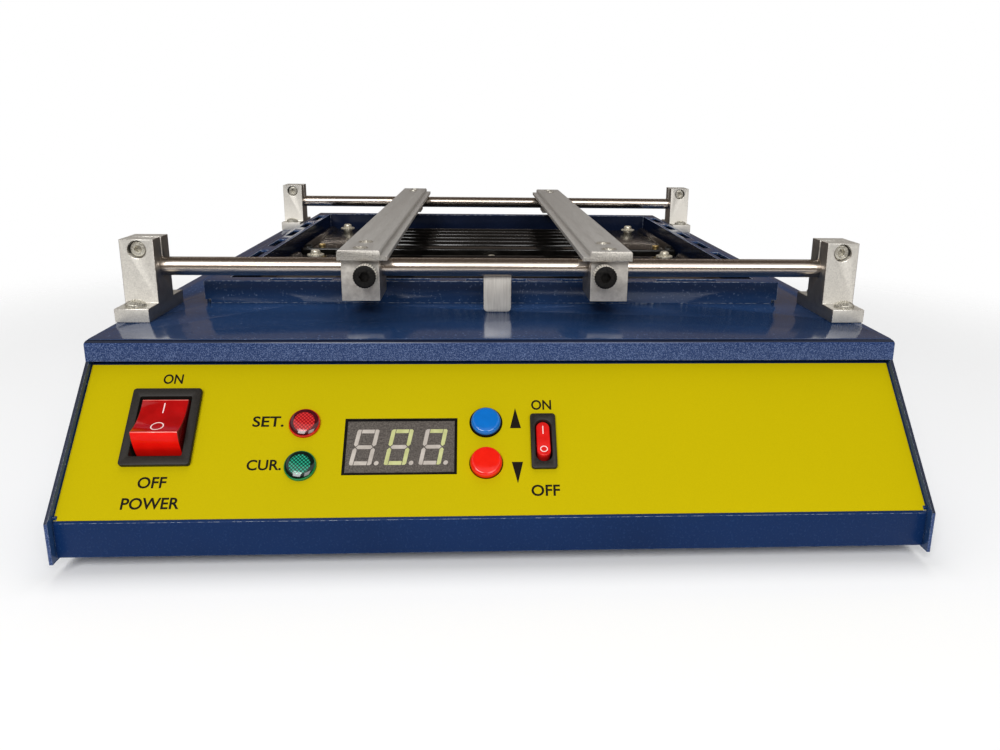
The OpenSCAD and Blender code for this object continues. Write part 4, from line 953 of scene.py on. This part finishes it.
# Moulded frame: a plain dull black.
window_black = grained("black_window_frame", "#060505", "#0f0d0c", 0.8, (0.3, 0.45), Specular_IOR_Level=0.1)
# Smoked epoxy: grey-brown and grainy. The grain is drawn coarser than the real one, so that it shows.
smoked = grained("smoked_epoxy_face", "#3b3632", "#665f59", 0.55, (0.3, 0.45), 0.03, Specular_IOR_Level=0.25)
piece("display_window_smoked", bm, [window_black, smoked], "case", "smoked", "display_window")
finish_node("display_module", window_black)

# A digit's segments, each as an outline about the digit's middle.
DIGIT_PITCH = 12.75
DIGIT_SHIFT = -0.6
DIGIT_DROP = 0.2
DIGIT_SLANT = math.tan(math.radians(10))
DIGIT_HALF_W = 3.35
DIGIT_HALF_H = 6.4
SEGMENT = 1.5
SEGMENT_GAP = 0.25
SEGMENT_CUT = 0.5
SEGMENT_RISE = 0.02
POINT_RADIUS = 0.85
POINT_OUT = 2.5
POINT_STEPS = 24
half = SEGMENT / 2
bar_x = DIGIT_HALF_W - half - SEGMENT_GAP
edge_x = DIGIT_HALF_W + half
edge_y = DIGIT_HALF_H + half
tip = DIGIT_HALF_W - SEGMENT_GAP
flat_bar = [(-bar_x, -half), (bar_x, -half), (bar_x, half), (-bar_x, half)]
pointed_bar = [(-tip, 0), (half - tip, -half), (tip - half, -half), (tip, 0), (tip - half, half),
               (half - tip, half)]
upright = [(DIGIT_HALF_W, SEGMENT_GAP), (edge_x, SEGMENT_GAP + half), (edge_x, edge_y - SEGMENT_CUT),
           (edge_x - SEGMENT_CUT, edge_y), (DIGIT_HALF_W - half, edge_y),
           (DIGIT_HALF_W - half, SEGMENT_GAP + half)]
point = arc(DIGIT_HALF_W + POINT_OUT, -DIGIT_HALF_H, POINT_RADIUS, start=0, end=360, count=POINT_STEPS)[:-1]
segments = {"top": [(x, y + DIGIT_HALF_H) for x, y in flat_bar],
            "low": [(x, y - DIGIT_HALF_H) for x, y in flat_bar],
            "middle": pointed_bar,
            "point": point}
for side, way in (("left", -1), ("right", 1)):
    segments["upper_" + side] = [(x * way, y) for x, y in upright]
    segments["lower_" + side] = [(x * way, -y) for x, y in upright]

# Diffusers: pale and matt. The middle digit's ring and three bars of the last digit have a
# yellower tint.
tinted = [(0, name) for name in segments if name not in ("middle", "point")]
tinted += [(1, name) for name in ("top", "upper_right", "lower_right")]
for name, wanted, tones in (("display_segments", False, ("#a89f96", "#bcb3a9")),
                            ("display_segments_tinted", True, ("#adaf74", "#c0c288"))):
    bm = bmesh.new()
    for digit in (-1, 0, 1):
        digit_x = WINDOW_X + digit * DIGIT_PITCH + DIGIT_SHIFT
        face_place = on_panel(digit_x, WINDOW_S + DIGIT_DROP, LABEL_THICK - WINDOW_SINK)
        for segment, shape in segments.items():
            if ((digit, segment) in tinted) == wanted:
                slanted = [(x + y * DIGIT_SLANT, y) for x, y in shape]
                prism(bm, slanted, face_place, -SEGMENT_RISE, SEGMENT_RISE)
    bmesh.ops.recalc_face_normals(bm, faces=bm.faces)
    piece(name, bm, [grained(name + "_diffuser", *tones, 3, (0.35, 0.5))], "case", "display")


# Push buttons
# Moulded ABS caps with a rounded edge and a faintly crowned top: a blue one in a black collar and
# a red one. They stand on the key switches behind the panel.
BUTTON_X = -5.7
CAP_CROWN = 0.15
CAP_ROUND = 1.4
SKIRT_RADIUS = 5.95
COLLAR = 1
COLLAR_TOP = -1.5
COLLAR_LOW = -4.1
STEM_RADIUS = 1.5
STEM_LOW = -7.4
collar_radius = SKIRT_RADIUS + COLLAR
for node, s, slot, tones, radius, rise, skirt in (
        ("up_button", 25.4, "blue_cap", ("#0465b6", "#066bc0"), 5.6, 2.8, 1.1),
        ("down_button", 42.0, "red_cap", ("#e0180a", "#e81d0c"), 5.95, 3.0, 0.2)):
    # ABS: a strong even colour with a high gloss.
    cap = grained(node + "_abs", *tones, 3, (0.09, 0.12), Specular_IOR_Level=0.5)
    outline = [(0, rise), (radius / 2, rise - CAP_CROWN / 4)]
    outline += arc(radius - CAP_ROUND, rise - CAP_CROWN - CAP_ROUND, CAP_ROUND, start=90, end=0, count=8)
    outline += [(radius, skirt), (SKIRT_RADIUS, skirt), (SKIRT_RADIUS, COLLAR_TOP)]
    outline += [(collar_radius, COLLAR_TOP), (collar_radius, COLLAR_LOW)]
    outline += [(STEM_RADIUS, COLLAR_LOW), (STEM_RADIUS, STEM_LOW), (0, STEM_LOW)]
    bm = bmesh.new()
    turned(bm, outline, Matrix.Identity(4))
    for face in bm.faces:
        face.material_index = 1 if face.calc_center_median().z < skirt * MM + TINY else 0
    bmesh.ops.transform(bm, verts=bm.verts, matrix=on_panel(BUTTON_X, s, 0))
    piece(node + "_cap", bm, [cap, dark_nylon_and_edge_shade], node, slot, node)
finish_node("button_switches", nylon)


# Rear fittings, feet and screws
# A moulded appliance inlet with plated pins is screwed to the rear panel. Four feet of black rubber,
# very dull and grainy, are screwed under the base, and six screws hold the cover's sides.
rubber = grained("moulded_rubber", "#151515", "#242322", 0.9, (0.6, 0.78), 0.06)
for node, round_off, finish, slot in (("mains_inlet", 0.35, nylon, "black_plastic"),
                                      ("inlet_pins", 0.2, zinc, "brass"),
                                      ("inlet_screws", 0.15, zinc, "zinc_steel"),
                                      ("feet", 0.8, rubber, "rubber"),
                                      ("foot_screws", 0.2, zinc, "zinc_steel"),
                                      ("cover_screws", 0.25, zinc, "zinc_steel")):
    bm = cad_copy(node)
    break_edges(bm, round_off)
    piece(node + "_finished", bm, [finish], "case", slot, node)


# Inside the case
# A control board on posts behind the panel, a small transformer, a finned sink with its power
# module and a ceramic terminal block stand on the base, out of sight when the case is shut.
finish_node("board_posts", brass)
finish_node("heat_sink", extruded)
# Glass epoxy is a semi-gloss green, and varnished laminations show as fine dark layers.
finish_node("control_board", grained("glass_epoxy_board", "#1c5230", "#276b40", 1.2, (0.35, 0.5)))
finish_node("transformer", grained("varnished_laminations", "#2c2b2d", "#4c4a4c", 0.7, (0.35, 0.55), 0.05,
                                   stretch=(0.1, 0.1, 1)))
# Moulded epoxy is a dull black, and unglazed steatite a chalky white.
finish_node("power_module", grained("moulded_epoxy", "#1b1a1a", "#292727", 0.7, (0.45, 0.6), 0.03))
finish_node("terminal_block", grained("unglazed_steatite", "#d5d0c4", "#e7e3da", 1.6, (0.5, 0.65), 0.03))
